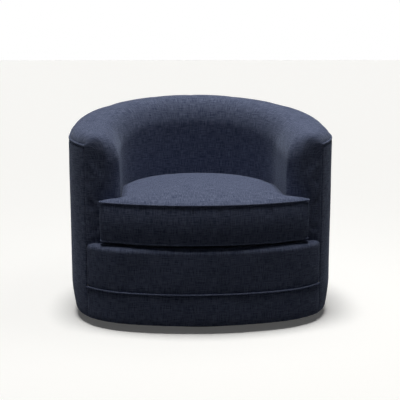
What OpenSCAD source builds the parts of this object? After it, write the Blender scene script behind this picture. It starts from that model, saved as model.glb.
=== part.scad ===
// Barrel swivel chair: upholstered tub shell on a low turntable, with a loose boxed T cushion.
// The origin is on the floor under the turntable's axis, the front of the chair faces -Y.

/* [Plan] */
// Width across the widest line
body_w = 880; // [860:5:900]
// Reach from the widest line to the middle of the front
front_reach = 375; // [365:1:385]
// Straight run of each side in front of the widest line
side_run = 76; // [60:1:80]
// Radius of the two outer front corners
corner_r = 274; // [262:1:278]
// Turn along the corner at which the upright front seam stands
seam_turn = 38.4; // [36:0.2:41]

/* [Heights] */
// Bottom edge of the fabric over the floor
hem_z = 25; // [25:0.5:26]
// How far the sides and the back are drawn in at the hem
hem_in = 16; // [8:1:18]
// Height at which the sides and the back start to be drawn in
draw_z = 120; // [110:5:150]
// Welt between the bottom band and the front panel
front_welt_z = 126; // [110:1:150]
// Deck that the cushion lies on
deck_z = 272; // [268:1:280]
// Height of the top seam where it meets the front seams
arm_seam_z = 582; // [560:1:610]
// Slope of the top seam along the arms
arm_slope = 5.2; // [4:0.2:6]
// Slope of the rim from the widest line to the back
rim_slope = 9.1; // [8.1:0.5:11.1]
// Radius that blends the arms' slope into the rim's slope
rim_blend_r = 500; // [300:10:600]

/* [Padding] */
// Wall thickness at the seat
wall_t = 171; // [168:1:178]
// How much thinner the wall is under the rim
wall_lean = 3; // [0:1:6]
// Height of the padded rim over the top seam
rim_rise = 34; // [26:1:36]
// Width over which the rim rises from the seam
rim_out = 55; // [40:1:65]
// Width of the roll down to the inner face
rim_in = 70; // [55:1:80]
// Height of the roll down to the inner face
rim_roll = 100; // [80:1:120]
// Depth of each arm's front face before the widest line
arm_face_reach = 259.5; // [256:0.5:264]
// Radius of the arm's inner front corner
arm_corner_r = 45; // [40:1:50]
// Thickness of the cover fabric with its backing
cover_t = 3; // [2.5:0.5:3.5]
// Clearance between sewn or glued layers
layer_gap = 0.3; // [0.3:0.1:0.5]
// Radius of the welt along the top seam
top_welt_r = 4; // [3:0.5:4.5]
// Radius of the welt across the front
front_welt_r = 3; // [2:0.5:3.5]
// Rounding of the front panel's shoulder
shoulder_r = 18; // [14:1:20]
// Width of the front panel's fabric that is turned onto the deck
deck_lap = 62; // [58:1:66]

/* [Frame] */
// Depth of the wooden wall frame
frame_depth = 100; // [92:1:102]
// Thickness of the bottom frame
bottom_frame_t = 18; // [16:1:18]
// Thickness of the top rails
top_rail_t = 20; // [18:1:24]
// Thickness of the posts
post_t = 36; // [30:1:40]
// Thickness of the curved front rail
front_rail_t = 18; // [16:1:20]
// Thickness of the fibreboard panels
board_t = 3; // [2.5:0.5:3]
// Height of the seat ring and of the front rail's top edge
seat_rail_z = 242; // [240:1:243]
// Thickness of the seat ring
seat_ring_t = 20; // [18:1:25]
// Width of the seat ring
seat_ring_w = 53; // [45:1:60]
// Offset of each cross rail from the middle
cross_rail_x = 70; // [66:1:74]
// Width of each cross rail
cross_rail_w = 50; // [46:1:54]
// Height of each cross rail
cross_rail_h = 45; // [40:1:50]

/* [Seat] */
// Number of sinuous springs
spring_count = 5; // [3:1:5]
// Distance between springs
spring_step = 88; // [80:1:90]
// Width of a spring
spring_w = 46; // [40:1:50]
// Spring wire
spring_wire = 3.5; // [3:0.1:3.6]
// Distance between the bars of a spring
spring_pitch = 32; // [28:1:36]
// Width of a spring clip
clip_w = 12; // [8:1:13]

/* [Cushion] */
// Free height from the lower to the upper seam
boxing_h = 124; // [110:1:130]
// Lower seam over the deck
cushion_belly = 13; // [11:0.5:15]
// Crown over the upper seam
cushion_crown = 30; // [20:1:34]
// Gap between the cushion and the walls
cushion_gap = 7; // [7:0.5:9]
// Reach from the widest line to the middle of the cushion's front
cushion_reach = 373; // [365:1:376]
// How far the two front wings end inside the outer fabric's sides
wing_inset = 109; // [105:1:115]
// Reach from the widest line to the wings' front corners
wing_reach = 288; // [285:1:294]
// How far the boxing is drawn in between its seams
boxing_draw = 2; // [1:0.5:3]
// Radius of the piping
piping_r = 2.2; // [1.8:0.1:2.4]
// Height of the zipper tape
zip_tape_h = 30; // [24:1:36]
// Half of the arc that the zipper takes behind the cushion
zip_turn = 62; // [50:1:70]

/* [Base] */
// How far the round base stands in from the front and the back
base_inset = 62.5; // [58:0.5:72]
// Clearance between the base and the hole in the bottom frame
base_gap = 15; // [10:1:18]
// Number of floor glides
glide_count = 6; // [4:1:8]
// Radius of a glide
glide_r = 15; // [10:1:18]
// Height of a glide
glide_h = 4; // [3:0.5:4]
// Height of the plinth ring
plinth_h = 14; // [12:1:15]
// Width of the plinth ring
plinth_w = 55; // [45:1:65]
// Thickness of the base board
base_board_t = 10; // [9:1:10]

/* [Turntable] */
// Radius of the ball track
track_r = 120; // [110:1:125]
// Ball radius
ball_r = 5; // [4.5:0.1:5]
// Number of balls
ball_count = 24; // [18:1:30]
// Rolling clearance of each ball
ball_clear = 0.05; // [0.02:0.01:0.08]
// Thickness of the two steel plates
plate_t = 2.5; // [2:0.5:2.5]
// Radius of the two steel plates
plate_r = 150; // [145:1:160]
// Height of a race over its plate
race_h = 4.5; // [4.2:0.1:4.6]
// Half of the width of a race
race_w = 10; // [8:0.5:11]
// Thickness of the ball cage
cage_t = 2; // [1.5:0.5:2]
// Radius of the king bolt
king_r = 8; // [6:0.5:10]
// Running clearance of the king bolt
king_clear = 0.05; // [0.02:0.01:0.08]
// Thickness of a bolt head or nut
head_h = 7; // [6:0.5:8]
// Radius of the plate bolts
plate_bolt_r = 4; // [3:0.5:5]
// Distance of the plate bolts before and behind the king bolt
plate_bolt_y = 60; // [40:1:64]
// Distance of the lower plate's screws from the king bolt
plate_screw_at = 60; // [45:1:80]

/* [Hidden] */
$fn = 96;

navy = [0.14, 0.17, 0.22];
navy_trim = [0.10, 0.12, 0.17];
timber = [0.78, 0.62, 0.42];
plywood = [0.72, 0.55, 0.36];
foam = [0.93, 0.88, 0.70];
felt = [0.55, 0.52, 0.48];
steel = [0.62, 0.64, 0.67];
black_paint = [0.06, 0.06, 0.07];
nylon = [0.85, 0.85, 0.83];

// Plan: back half circle, two straight sides, two corner arcs and one shallow front arc
back_r = body_w / 2;
widest_y = (front_reach - back_r) / 2;
corner_x = back_r - corner_r;
corner_y = widest_y - side_run;
front_y = widest_y - front_reach;
front_drop = corner_y - front_y;
front_r = (corner_x * corner_x + front_drop * front_drop - corner_r * corner_r)
  / (2 * (front_drop - corner_r));
front_cy = front_y + front_r;
corner_turn = atan2(front_cy - corner_y, corner_x);
front_half_turn = 90 - corner_turn;

// Top seam height along the depth of the chair
rim_z = arm_seam_z + (widest_y - corner_y + corner_r * sin(seam_turn)) * tan(arm_slope);
blend_run = rim_blend_r * tan((rim_slope - arm_slope) / 2);
blend_start = widest_y - blend_run * cos(arm_slope);
blend_end = widest_y + blend_run * cos(rim_slope);
blend_y = blend_start - rim_blend_r * sin(arm_slope);
blend_z = rim_z - blend_run * sin(arm_slope) + rim_blend_r * cos(arm_slope);
function seam_z(y) =
  y < blend_start ? rim_z + (y - widest_y) * tan(arm_slope)
  : y > blend_end ? rim_z + (y - widest_y) * tan(rim_slope)
  : blend_z - sqrt(rim_blend_r * rim_blend_r - (y - blend_y) * (y - blend_y));

// Layers of the wall, as insets from the outer fabric
outer_board_in = cover_t + layer_gap;
frame_in = outer_board_in + board_t + layer_gap;
frame_back = frame_in + frame_depth;
inner_board_in = frame_back + layer_gap;
foam_back = inner_board_in + board_t + layer_gap;
arm_face_y = widest_y - arm_face_reach;
arm_face_pad = 34;
arm_board_y = arm_face_y + arm_face_pad;
arm_board_t = 12;
arm_post_y = arm_board_y + arm_board_t + layer_gap;
arm_post_t = 40;
top_drop = 8;
rail_drop = top_drop + top_rail_t;
welt_room = top_welt_r + layer_gap;
seam_slit = 0.12;

// Heights of the base and of the turntable
base_board_z = glide_h + plinth_h;
lower_plate_z = base_board_z + base_board_t;
lower_race_z = lower_plate_z + plate_t;
ball_z = lower_race_z + ball_r + 1;
upper_race_z = 2 * ball_z - lower_race_z;
upper_plate_z = upper_race_z + plate_t;
washer_t = 2.4;
nut_z = upper_plate_z + 0.1 + washer_t;
bottom_frame_z = upper_plate_z - bottom_frame_t;
base_r = (front_reach + back_r) / 2 - base_inset;
hole_r = base_r + base_gap;

// Heights of the seat
spring_z = seat_rail_z + layer_gap;
clip_top = spring_z + spring_wire + 1.5;
spring_cover_z = clip_top + layer_gap;
spring_cover_t = 2;
deck_pad_z = spring_cover_z + spring_cover_t + layer_gap;
deck_cloth_z = deck_z - cover_t;
front_pad_room = 18.7;
front_rail_in = outer_board_in + front_pad_room;
front_rail_back = front_rail_in + front_rail_t;
rail_end_turn = asin((corner_y - arm_post_y + 2) / (corner_r - front_rail_back));
block_depth = frame_depth / 2;
block_mid_x = corner_x
  + sqrt(pow(corner_r - front_rail_back, 2) - pow(corner_y - arm_post_y + block_depth / 2, 2));
pad_bottom_z = deck_z + 0.5;
hem_frame_in = hem_in + cover_t + layer_gap;

// Cushion
cushion_low_z = deck_z + cushion_belly + layer_gap;
cushion_top_z = cushion_low_z + boxing_h;
cushion_half_w = back_r - wall_t - cushion_gap;
wing_x = back_r - wing_inset;
wing_y = widest_y - wing_reach;
cushion_front_y = widest_y - cushion_reach;
cushion_sag = wing_y - cushion_front_y;
cushion_front_r = (wing_x * wing_x + cushion_sag * cushion_sag) / (2 * cushion_sag);
wing_back_y = arm_face_y - cushion_gap;
panel_t = 2;
mid_z = (cushion_low_z + cushion_top_z) / 2;
zip_r = cushion_half_w - boxing_draw * (1 - zip_tape_h / boxing_h) + layer_gap;
zip_tape_t = 0.8;
zip_slider_t = 2.2;

// Vector helpers
function lerp(a, b, t) = a + (b - a) * t;
function unit(v) = v / max(norm(v), 0.000001);
function clamp(v, low, high) = min(max(v, low), high);
function join_rows(rows) = [for (row = rows) each row];
function two_faces(a, b, c, d) = [[a, b, c], [a, c, d]];
function mirror_x(p) = [for (k = [0:len(p) - 1]) k == 0 ? -p[k] : p[k]];

// Point on the outer plan's right front corner, at a turn from the side and an inset
function corner_point(turn, inset) =
  [corner_x + (corner_r - inset) * cos(turn), corner_y - (corner_r - inset) * sin(turn)];

// Surface normals of a grid of points, by differences between neighbours
function grid_normal(g, r, c, wrap) =
  let (rows = len(g), cols = len(g[0]))
  let (c0 = wrap ? (c + cols - 1) % cols : max(c - 1, 0))
  let (c1 = wrap ? (c + 1) % cols : min(c + 1, cols - 1))
  let (r0 = max(r - 1, 0), r1 = min(r + 1, rows - 1))
  unit(cross(g[r][c1] - g[r][c0], g[r1][c] - g[r0][c]));
function grid_inset(g, t, wrap) =
  [for (r = [0:len(g) - 1]) [for (c = [0:len(g[0]) - 1]) g[r][c] - grid_normal(g, r, c, wrap) * t[c]]];

// Faces of a closed sheet between two grids of the same size
function sheet_faces(rows, cols, wrap) =
  let (n = rows * cols, last = wrap ? cols - 1 : cols - 2)
  concat(
    [for (r = [0:rows - 2]) for (c = [0:last]) let (d = (c + 1) % cols)
      each two_faces(r * cols + c, r * cols + d, (r + 1) * cols + d, (r + 1) * cols + c)],
    [for (r = [0:rows - 2]) for (c = [0:last]) let (d = (c + 1) % cols)
      each two_faces(n + r * cols + c, n + (r + 1) * cols + c, n + (r + 1) * cols + d, n + r * cols + d)],
    [for (c = [0:last]) let (d = (c + 1) % cols) each two_faces(c, n + c, n + d, d)],
    wrap ? [] : [for (r = [0:rows - 2]) let (a = r * cols, b = (r + 1) * cols)
      each two_faces(a, b, n + b, n + a)],
    wrap ? [] : [for (r = [0:rows - 2]) let (a = r * cols + cols - 1, b = (r + 1) * cols + cols - 1)
      each two_faces(a, n + a, n + b, b)]
  );
function far_edge_faces(rows, cols, wrap) =
  let (n = rows * cols, base = (rows - 1) * cols, last = wrap ? cols - 1 : cols - 2)
  [for (c = [0:last]) let (d = (c + 1) % cols)
    each two_faces(base + d, n + base + d, n + base + c, base + c)];
module sheet(outer, inner, wrap) {
  rows = len(outer);
  cols = len(outer[0]);
  points = concat(join_rows(outer), join_rows(inner));
  polyhedron(points, concat(sheet_faces(rows, cols, wrap), far_edge_faces(rows, cols, wrap)));
}

// Disc of rings closed by a pole, as a sheet with a rim at its first ring
module domed_panel(outer, inner, outer_pole, inner_pole) {
  rows = len(outer);
  cols = len(outer[0]);
  n = rows * cols;
  last = (rows - 1) * cols;
  points = concat(join_rows(outer), join_rows(inner), [outer_pole, inner_pole]);
  caps = [for (c = [0:cols - 1]) let (d = (c + 1) % cols)
    each [[last + c, last + d, 2 * n], [n + last + d, n + last + c, 2 * n + 1]]];
  polyhedron(points, concat(sheet_faces(rows, cols, true), caps));
}

// Solid of stacked rings closed by a pole at each end
module ringed_solid(rings, low_pole, high_pole) {
  rows = len(rings);
  cols = len(rings[0]);
  n = rows * cols;
  walls = [for (r = [0:rows - 2]) for (c = [0:cols - 1]) let (d = (c + 1) % cols)
    each two_faces(r * cols + c, r * cols + d, (r + 1) * cols + d, (r + 1) * cols + c)];
  low = [for (c = [0:cols - 1]) [(c + 1) % cols, c, n]];
  high = [for (c = [0:cols - 1]) [n - cols + c, n - cols + (c + 1) % cols, n + 1]];
  polyhedron(concat(join_rows(rings), [low_pole, high_pole]), concat(walls, low, high));
}

// Round tube swept along a path, closed in a loop or capped at both ends
tube_sides = 6;
function tube_ring(path, k, r, loop) =
  let (n = len(path))
  let (a = loop ? path[(k + n - 1) % n] : path[max(k - 1, 0)])
  let (b = loop ? path[(k + 1) % n] : path[min(k + 1, n - 1)])
  let (along = unit(b - a), side = unit(cross(along, [0, 0, 1])), up = cross(side, along))
  [for (s = [0:tube_sides - 1]) let (t = 360 * s / tube_sides)
    path[k] + (side * cos(t) + up * sin(t)) * r];
module tube(path, r, loop) {
  n = len(path);
  last = loop ? n - 1 : n - 2;
  points = [for (k = [0:n - 1]) each tube_ring(path, k, r, loop)];
  walls = [for (k = [0:last]) for (s = [0:tube_sides - 1])
    let (a = k * tube_sides, b = ((k + 1) % n) * tube_sides, u = (s + 1) % tube_sides)
    each two_faces(a + s, a + u, b + u, b + s)];
  first_cap = [for (s = [1:tube_sides - 2]) [0, s + 1, s]];
  base = (n - 1) * tube_sides;
  last_cap = [for (s = [1:tube_sides - 2]) [base, base + s, base + s + 1]];
  polyhedron(points, loop ? walls : concat(walls, first_cap, last_cap));
}

// Profile carried round the outer wall, from one front corner over the back to the other
module along_outer(end_turn) {
  translate([0, widest_y, 0]) rotate_extrude(angle = 180) translate([back_r, 0]) children();
  for (side = [0, 1])
    mirror([side, 0, 0]) {
      translate([back_r, widest_y, 0]) rotate([90, 0, 0]) linear_extrude(side_run) children();
      translate([corner_x, corner_y, 0])
        rotate_extrude(angle = end_turn, start = -end_turn) translate([corner_r, 0]) children();
    }
}

// Space under the top seam, lowered by a drop
module under_seam(drop, low_z) {
  far = back_r + 20;
  near = -far;
  rotate([90, 0, 90])
    linear_extrude(2 * far, center = true)
      translate([0, -drop])
        difference() {
          polygon([
            [near, low_z + drop], [far, low_z + drop], [far, seam_z(far)],
            [blend_end, seam_z(blend_end)], [blend_start, seam_z(blend_start)], [near, seam_z(near)]
          ]);
          translate([blend_y, blend_z]) circle(rim_blend_r, $fn = 720);
        }
}

// Outer plan in from the fabric by an inset
module plan_2d(inset) {
  reach = corner_r + 90;
  intersection() {
    translate([0, widest_y]) circle(back_r - inset);
    translate([-back_r, widest_y]) square([body_w, back_r]);
  }
  translate([-back_r + inset, corner_y]) square([body_w - 2 * inset, side_run]);
  for (side = [-1, 1]) translate([side * corner_x, corner_y]) circle(corner_r - inset);
  intersection() {
    translate([0, front_cy]) circle(front_r - inset, $fn = 360);
    polygon([
      [-corner_x, corner_y], [corner_x, corner_y],
      [corner_x + reach * cos(corner_turn), corner_y - reach * sin(corner_turn)],
      [-corner_x - reach * cos(corner_turn), corner_y - reach * sin(corner_turn)]
    ]);
  }
}

// Strip along the front between two insets, from a turn of one corner to the same turn of the other
module front_strip_2d(outer_in, inner_in, turn) {
  reach = back_r / cos(turn);
  difference() {
    plan_2d(outer_in);
    plan_2d(inner_in);
    polygon([
      [corner_x, corner_y], [corner_x + reach * cos(turn), corner_y - reach * sin(turn)],
      [2 * back_r, 2 * back_r], [-2 * back_r, 2 * back_r],
      [-corner_x - reach * cos(turn), corner_y - reach * sin(turn)], [-corner_x, corner_y]
    ]);
  }
}

// Seat well between the walls, open to the front as far as a given line
module well_2d(inset, open_y) {
  intersection() {
    translate([0, widest_y]) circle(back_r - inset);
    translate([-back_r, widest_y]) square([body_w, back_r]);
  }
  translate([-back_r + inset, open_y]) square([body_w - 2 * inset, widest_y - open_y]);
}

// Plan of the wooden wall frame behind the arm front boards
module frame_2d() {
  difference() {
    plan_2d(frame_in);
    well_2d(frame_back, front_y - 1);
    translate([-back_r, front_y - 1]) square([body_w, arm_post_y - front_y + 1]);
  }
}

// Padded lining: stations run from the right front seam round the arm, the side and the back
face_count = 6;
bend_count = 9;
back_count = 11;
half_count = face_count + bend_count + back_count;
station_count = 2 * half_count - 1;
profile_count = 12;
seam_inset = top_welt_r + 2.3;
inner_x = back_r - wall_t;
corner_centre = [inner_x + arm_corner_r, arm_face_y + arm_corner_r];
seam_point = corner_point(seam_turn + seam_slit, seam_slit);
face_dx = seam_point[0] - corner_centre[0];
face_dy = seam_point[1] - arm_face_y;
face_r = (face_dx * face_dx + face_dy * face_dy) / (2 * face_dy);
face_sweep = asin(face_dx / face_r);
outer_arc = (corner_r - seam_inset) * (seam_turn - face_count * 0.5) * PI / 180;
outer_run = outer_arc + side_run;
corner_run = arm_corner_r * PI / 2;
inner_run = corner_run + widest_y - corner_centre[1];

// Outer rail of the lining, just inside the top seam
function outer_rail(i) =
  i < face_count ? corner_point(seam_turn - 0.5 * i, seam_inset)
  : i < face_count + bend_count
    ? let (run = outer_run * (i - face_count + 1) / bend_count)
      run < outer_arc
        ? corner_point((outer_arc - run) / (corner_r - seam_inset) * 180 / PI, seam_inset)
        : [back_r - seam_inset, corner_y + run - outer_arc]
  : let (turn = 90 * (i - face_count - bend_count + 1) / back_count)
    [(back_r - seam_inset) * cos(turn), widest_y + (back_r - seam_inset) * sin(turn)];

// Foot of the lining on the inner face, which starts on the arm's front
function inner_rail(i) =
  i < face_count
    ? let (turn = face_sweep * (1 - i / face_count))
      [corner_centre[0] + face_r * sin(turn), arm_face_y + face_r * (1 - cos(turn))]
  : i < face_count + bend_count
    ? let (run = inner_run * pow((i - face_count + 1) / bend_count, 1.25))
      run < corner_run
        ? corner_centre - arm_corner_r * [sin(run / corner_run * 90), cos(run / corner_run * 90)]
        : [inner_x, corner_centre[1] + run - corner_run]
  : let (turn = 90 * (i - face_count - bend_count + 1) / back_count)
    [inner_x * cos(turn), widest_y + inner_x * sin(turn)];

// Share of the wall's lean, none on the arm's front and all of it along the inner face
function lean_share(i) = clamp((i - face_count + 1) / 3, 0, 1);

// One profile of the lining, from the top seam over the rim and down the inner face
function lining_point(i, w) =
  let (o = outer_rail(i), foot = inner_rail(i), span = norm(foot - o), along = unit(foot - o))
  let (top = span - wall_lean * lean_share(i))
  let (rise_w = min(rim_out, 0.45 * top), fall_w = min(rim_in, 0.45 * top))
  let (rise = rim_rise * min(1, sqrt(top / 110)), roll = rim_roll * min(1, top / 110))
  let (z0 = seam_z(o[1]), turn = w < 4 ? w * 30 : (w - 4) * 22.5)
  let (u = w < 4 ? rise_w * (1 - cos(turn)) : w < 9 ? top - fall_w * (1 - sin(turn))
    : w == 9 ? lerp(top, span, 0.6) : span)
  let (z = w < 4 ? z0 + rise * sin(turn) : w < 9 ? z0 + rise - roll * (1 - cos(turn))
    : lerp(z0 + rise - roll, pad_bottom_z, [0.3, 0.6, 1][w - 9]))
  [o[0] + along[0] * u, o[1] + along[1] * u, z];
lining_half = [for (i = [0:half_count - 1]) [for (w = [0:profile_count - 1]) lining_point(i, w)]];
lining = [for (k = [0:station_count - 1])
  k < half_count ? lining_half[k] : [for (p = lining_half[station_count - 1 - k]) mirror_x(p)]];
lining_grid = [for (w = [0:profile_count - 1]) [for (k = [0:station_count - 1]) lining[k][w]]];
function lining_cut(t) =
  [for (k = [0:station_count - 1])
    let (i = min(k, station_count - 1 - k))
    min(t, 0.2 * norm(inner_rail(i) - outer_rail(i)))];

// Frame side of the foam: over the top rails, then down the inner boards
function core_rail(i) =
  i < face_count
    ? [lerp(back_r - 54, back_r - foam_back, i / (face_count - 1)), arm_board_y - layer_gap]
  : i < face_count + bend_count
    ? [back_r - foam_back, lerp(arm_board_y - layer_gap, widest_y, (i - face_count + 1) / bend_count)]
  : let (turn = 90 * (i - face_count - bend_count + 1) / back_count)
    [(back_r - foam_back) * cos(turn), widest_y + (back_r - foam_back) * sin(turn)];
function core_point(i, w) =
  let (o = outer_rail(i), foot = inner_rail(i), core = core_rail(i))
  let (start = o + unit(foot - o) * 3.6, p = lerp(start, core, min(w / 6, 1)))
  let (top = seam_z(p[1]) - top_drop + layer_gap, z = lining_point(i, w)[2])
  [p[0], p[1], w < 7 ? top : min(z, top - 4 * (w - 6))];
core_half = [for (i = [0:half_count - 1]) [for (w = [0:profile_count - 1]) core_point(i, w)]];
core = [for (k = [0:station_count - 1])
  k < half_count ? core_half[k] : [for (p = core_half[station_count - 1 - k]) mirror_x(p)]];
core_grid = [for (w = [0:profile_count - 1]) [for (k = [0:station_count - 1]) core[k][w]]];

// Cushion outline, right half from the middle of the front to the middle of the back
front_steps = 6;
corner_steps = 3;
side_steps = 2;
arc_steps = 9;
wing_turn = asin(wing_x / cushion_front_r);
fillet_r = arm_corner_r + cushion_gap;
function cushion_half() = concat(
  [for (k = [0:front_steps]) let (t = wing_turn * 0.975 * k / front_steps)
    [cushion_front_r * sin(t), cushion_front_y + cushion_front_r * (1 - cos(t))]],
  [[wing_x, lerp(wing_y, wing_back_y, 0.25)], [wing_x - 0.5, wing_back_y - 4], [wing_x - 5, wing_back_y]],
  [[(wing_x + corner_centre[0]) / 2, wing_back_y]],
  [for (k = [0:corner_steps]) let (t = 90 * k / corner_steps)
    corner_centre - fillet_r * [sin(t), cos(t)]],
  [for (k = [1:side_steps])
    [cushion_half_w, lerp(corner_centre[1], widest_y, k / side_steps)]],
  [for (k = [1:arc_steps]) let (t = 90 * k / arc_steps)
    [cushion_half_w * cos(t), widest_y + cushion_half_w * sin(t)]]
);
cushion_right = cushion_half();
cushion_outline = concat(
  cushion_right,
  [for (k = [len(cushion_right) - 2:-1:1]) mirror_x(cushion_right[k])]
);

cushion_count = len(cushion_outline);

// Distance from a point of the plan to the cushion's seam
function seam_distance(p) =
  min([for (k = [0:cushion_count - 1])
    let (a = cushion_outline[k], run = cushion_outline[(k + 1) % cushion_count] - a)
    norm(p - a - run * clamp((p - a) * run / (run * run), 0, 1))]);

// The crown rises quickly beside the seam and then slowly to the middle, the belly is flat on the deck
function crown_z(p) =
  let (d = seam_distance(p))
  cushion_top_z + cushion_crown * (1 - 0.25 * exp(-d / 12) - 0.75 * exp(-d / 90));
function belly_z(p) = cushion_low_z - cushion_belly * (1 - exp(-seam_distance(p) / 30));

// Rings of the panels run from the seam to a spine that lies inside both the wings and the seat
spine_in = 14;
spine_front = 50;
function spine_y(x, y) =
  y < wing_back_y + 0.01
    ? let (back = spine_in + 0.9 * max(abs(x) - corner_centre[0], 0))
      wing_back_y - lerp(back, spine_front, clamp((wing_back_y - y) / 30, 0, 1))
  : y < corner_centre[1]
    ? let (share = (y - wing_back_y) / (corner_centre[1] - wing_back_y))
      lerp(wing_back_y - spine_in, 0.84 * corner_centre[1], share)
  : y * (y < 0 ? 0.84 : 0.45);
cushion_spine = [for (p = cushion_outline) [0.5 * p[0], spine_y(p[0], p[1])]];
cushion_middle = [0, -170];
function cushion_ring(share) =
  [for (k = [0:cushion_count - 1]) lerp(cushion_spine[k], cushion_outline[k], share)];
inner_share = 0.3;
middle_ring = [for (p = cushion_ring(inner_share)) lerp(cushion_middle, p, 0.55)];
top_plan = [for (share = [1, 0.95, 0.84, 0.62, inner_share]) cushion_ring(share)];
low_plan = [for (share = [1, 0.84, inner_share]) cushion_ring(share)];
cushion_top_rings = [for (ring = concat(top_plan, [middle_ring])) [for (p = ring) [p[0], p[1], crown_z(p)]]];
cushion_low_rings = [for (ring = low_plan) [for (p = ring) [p[0], p[1], belly_z(p)]]];
cushion_pole = [0, cushion_middle[1], crown_z(cushion_middle)];
cushion_low_pole = [0, cushion_middle[1], belly_z(cushion_middle)];
function raised(rings, dz) = [for (ring = rings) [for (p = ring) p + [0, 0, dz]]];
function reversed(ring) = [for (k = [cushion_count - 1:-1:0]) ring[k]];
function drawn_ring(d, z) =
  [for (k = [0:cushion_count - 1])
    let (a = cushion_outline[(k + cushion_count - 1) % cushion_count])
    let (b = cushion_outline[(k + 1) % cushion_count], t = unit(b - a), p = cushion_outline[k])
    [p[0] - t[1] * d, p[1] + t[0] * d, z]];

module floor_glides() {
  color(nylon)
    for (k = [0:glide_count - 1])
      rotate([0, 0, 360 * (k + 0.5) / glide_count])
        translate([base_r - plinth_w / 2, 0, 0]) {
          cylinder(h = glide_h, r = glide_r);
          translate([0, 0, glide_h]) cylinder(h = plinth_h / 2, r = glide_r / 5, $fn = 24);
        }
}

module plinth_ring() {
  color(black_paint)
    difference() {
      translate([0, 0, glide_h]) cylinder(h = plinth_h, r = base_r);
      translate([0, 0, glide_h - 1]) cylinder(h = plinth_h + 2, r = base_r - plinth_w);
      for (k = [0:glide_count - 1])
        rotate([0, 0, 360 * (k + 0.5) / glide_count])
          translate([base_r - plinth_w / 2, 0, glide_h - 1])
            cylinder(h = plinth_h / 2 + 1, r = glide_r / 5, $fn = 24);
    }
}

module base_board() {
  color(black_paint)
    difference() {
      translate([0, 0, base_board_z]) cylinder(h = base_board_t, r = base_r);
      translate([0, 0, base_board_z - 1]) cylinder(h = base_board_t + 2, r = 2 * king_r + 2);
      for (hole = lower_holes)
        translate([hole[0], hole[1], base_board_z - 1])
          cylinder(h = base_board_t + 2, r = plate_bolt_r, $fn = 32);
    }
}

// Plate with a raised race whose groove fits the balls, drawn from its plate side up
module race_plate(bore_r, holes) {
  groove_z = ball_z - lower_plate_z;
  difference() {
    rotate_extrude($fn = 180)
      difference() {
        union() {
          translate([bore_r, 0]) square([plate_r - bore_r, plate_t]);
          translate([track_r - race_w, 0]) square([2 * race_w, plate_t + race_h]);
        }
        translate([track_r, groove_z]) circle(ball_r + ball_clear, $fn = 96);
      }
    for (hole = holes)
      translate([hole[0], hole[1], -1]) cylinder(h = plate_t + 2, r = plate_bolt_r, $fn = 32);
  }
}

lower_holes = [for (turn = [45, 135, 225, 315]) [cos(turn), sin(turn)] * plate_screw_at];
upper_holes = [for (x = [-1, 1]) for (y = [-1, 1]) [x * cross_rail_x, y * plate_bolt_y]];

module lower_plate() {
  color(steel) translate([0, 0, lower_plate_z]) race_plate(king_r + king_clear, lower_holes);
}

module lower_plate_screws() {
  color(steel)
    for (hole = lower_holes)
      translate([hole[0], hole[1], base_board_z]) {
        cylinder(h = base_board_t + plate_t, r = plate_bolt_r, $fn = 32);
        translate([0, 0, base_board_t + plate_t]) cylinder(h = 2, r = 1.8 * plate_bolt_r, $fn = 32);
      }
}

module king_bolt() {
  color(steel) {
    translate([0, 0, lower_plate_z - head_h]) cylinder(h = head_h, r = 1.8 * king_r, $fn = 6);
    translate([0, 0, lower_plate_z])
      cylinder(h = nut_z - lower_plate_z + head_h + 3, r = king_r);
  }
}

module king_washer() {
  color(steel)
    translate([0, 0, nut_z - washer_t])
      difference() {
        cylinder(h = washer_t, r = 1.9 * king_r);
        translate([0, 0, -1]) cylinder(h = washer_t + 2, r = king_r);
      }
}

module king_nut() {
  color(steel)
    translate([0, 0, nut_z])
      difference() {
        cylinder(h = head_h, r = 1.7 * king_r, $fn = 6);
        translate([0, 0, -1]) cylinder(h = head_h + 2, r = king_r);
      }
}

module bearing_balls() {
  color(steel)
    for (k = [0:ball_count - 1])
      rotate([0, 0, 360 * k / ball_count]) translate([track_r, 0, ball_z]) sphere(ball_r, $fn = 32);
}

module ball_cage() {
  color(steel)
    translate([0, 0, ball_z - cage_t / 2])
      difference() {
        cylinder(h = cage_t, r = track_r + race_w + 3);
        translate([0, 0, -1]) cylinder(h = cage_t + 2, r = track_r - race_w - 3);
        for (k = [0:ball_count - 1])
          rotate([0, 0, 360 * k / ball_count])
            translate([track_r, 0, -1]) cylinder(h = cage_t + 2, r = ball_r + ball_clear, $fn = 48);
      }
}

module upper_plate() {
  color(steel)
    translate([0, 0, upper_plate_z])
      mirror([0, 0, 1]) race_plate(king_r + king_clear, upper_holes);
}

module plate_bolts() {
  color(steel)
    for (hole = upper_holes)
      translate([hole[0], hole[1], upper_plate_z - plate_t]) {
        translate([0, 0, -2]) cylinder(h = 2, r = 1.8 * plate_bolt_r, $fn = 32);
        cylinder(h = plate_t + 0.6 * cross_rail_h, r = plate_bolt_r, $fn = 32);
      }
}

module cross_rails() {
  reach = cross_rail_x + cross_rail_w / 2;
  front_end = front_cy - sqrt(pow(front_r - front_rail_back, 2) - reach * reach) + 1;
  back_end = widest_y + sqrt(pow(back_r - frame_in - 20, 2) - reach * reach);
  color(timber)
    for (side = [-1, 1])
      difference() {
        translate([side * cross_rail_x - cross_rail_w / 2, front_end, upper_plate_z])
          cube([cross_rail_w, back_end - front_end, cross_rail_h]);
        for (hole = upper_holes)
          translate([hole[0], hole[1], upper_plate_z - 1])
            cylinder(h = 0.6 * cross_rail_h + 1, r = plate_bolt_r, $fn = 32);
      }
}

module bottom_frame() {
  color(plywood)
    translate([0, 0, bottom_frame_z])
      linear_extrude(bottom_frame_t)
        difference() {
          plan_2d(hem_frame_in);
          circle(hole_r, $fn = 180);
        }
}

module front_rail() {
  color(plywood)
    translate([0, 0, upper_plate_z])
      linear_extrude(seat_rail_z - upper_plate_z)
        front_strip_2d(front_rail_in, front_rail_back, rail_end_turn);
}

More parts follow.
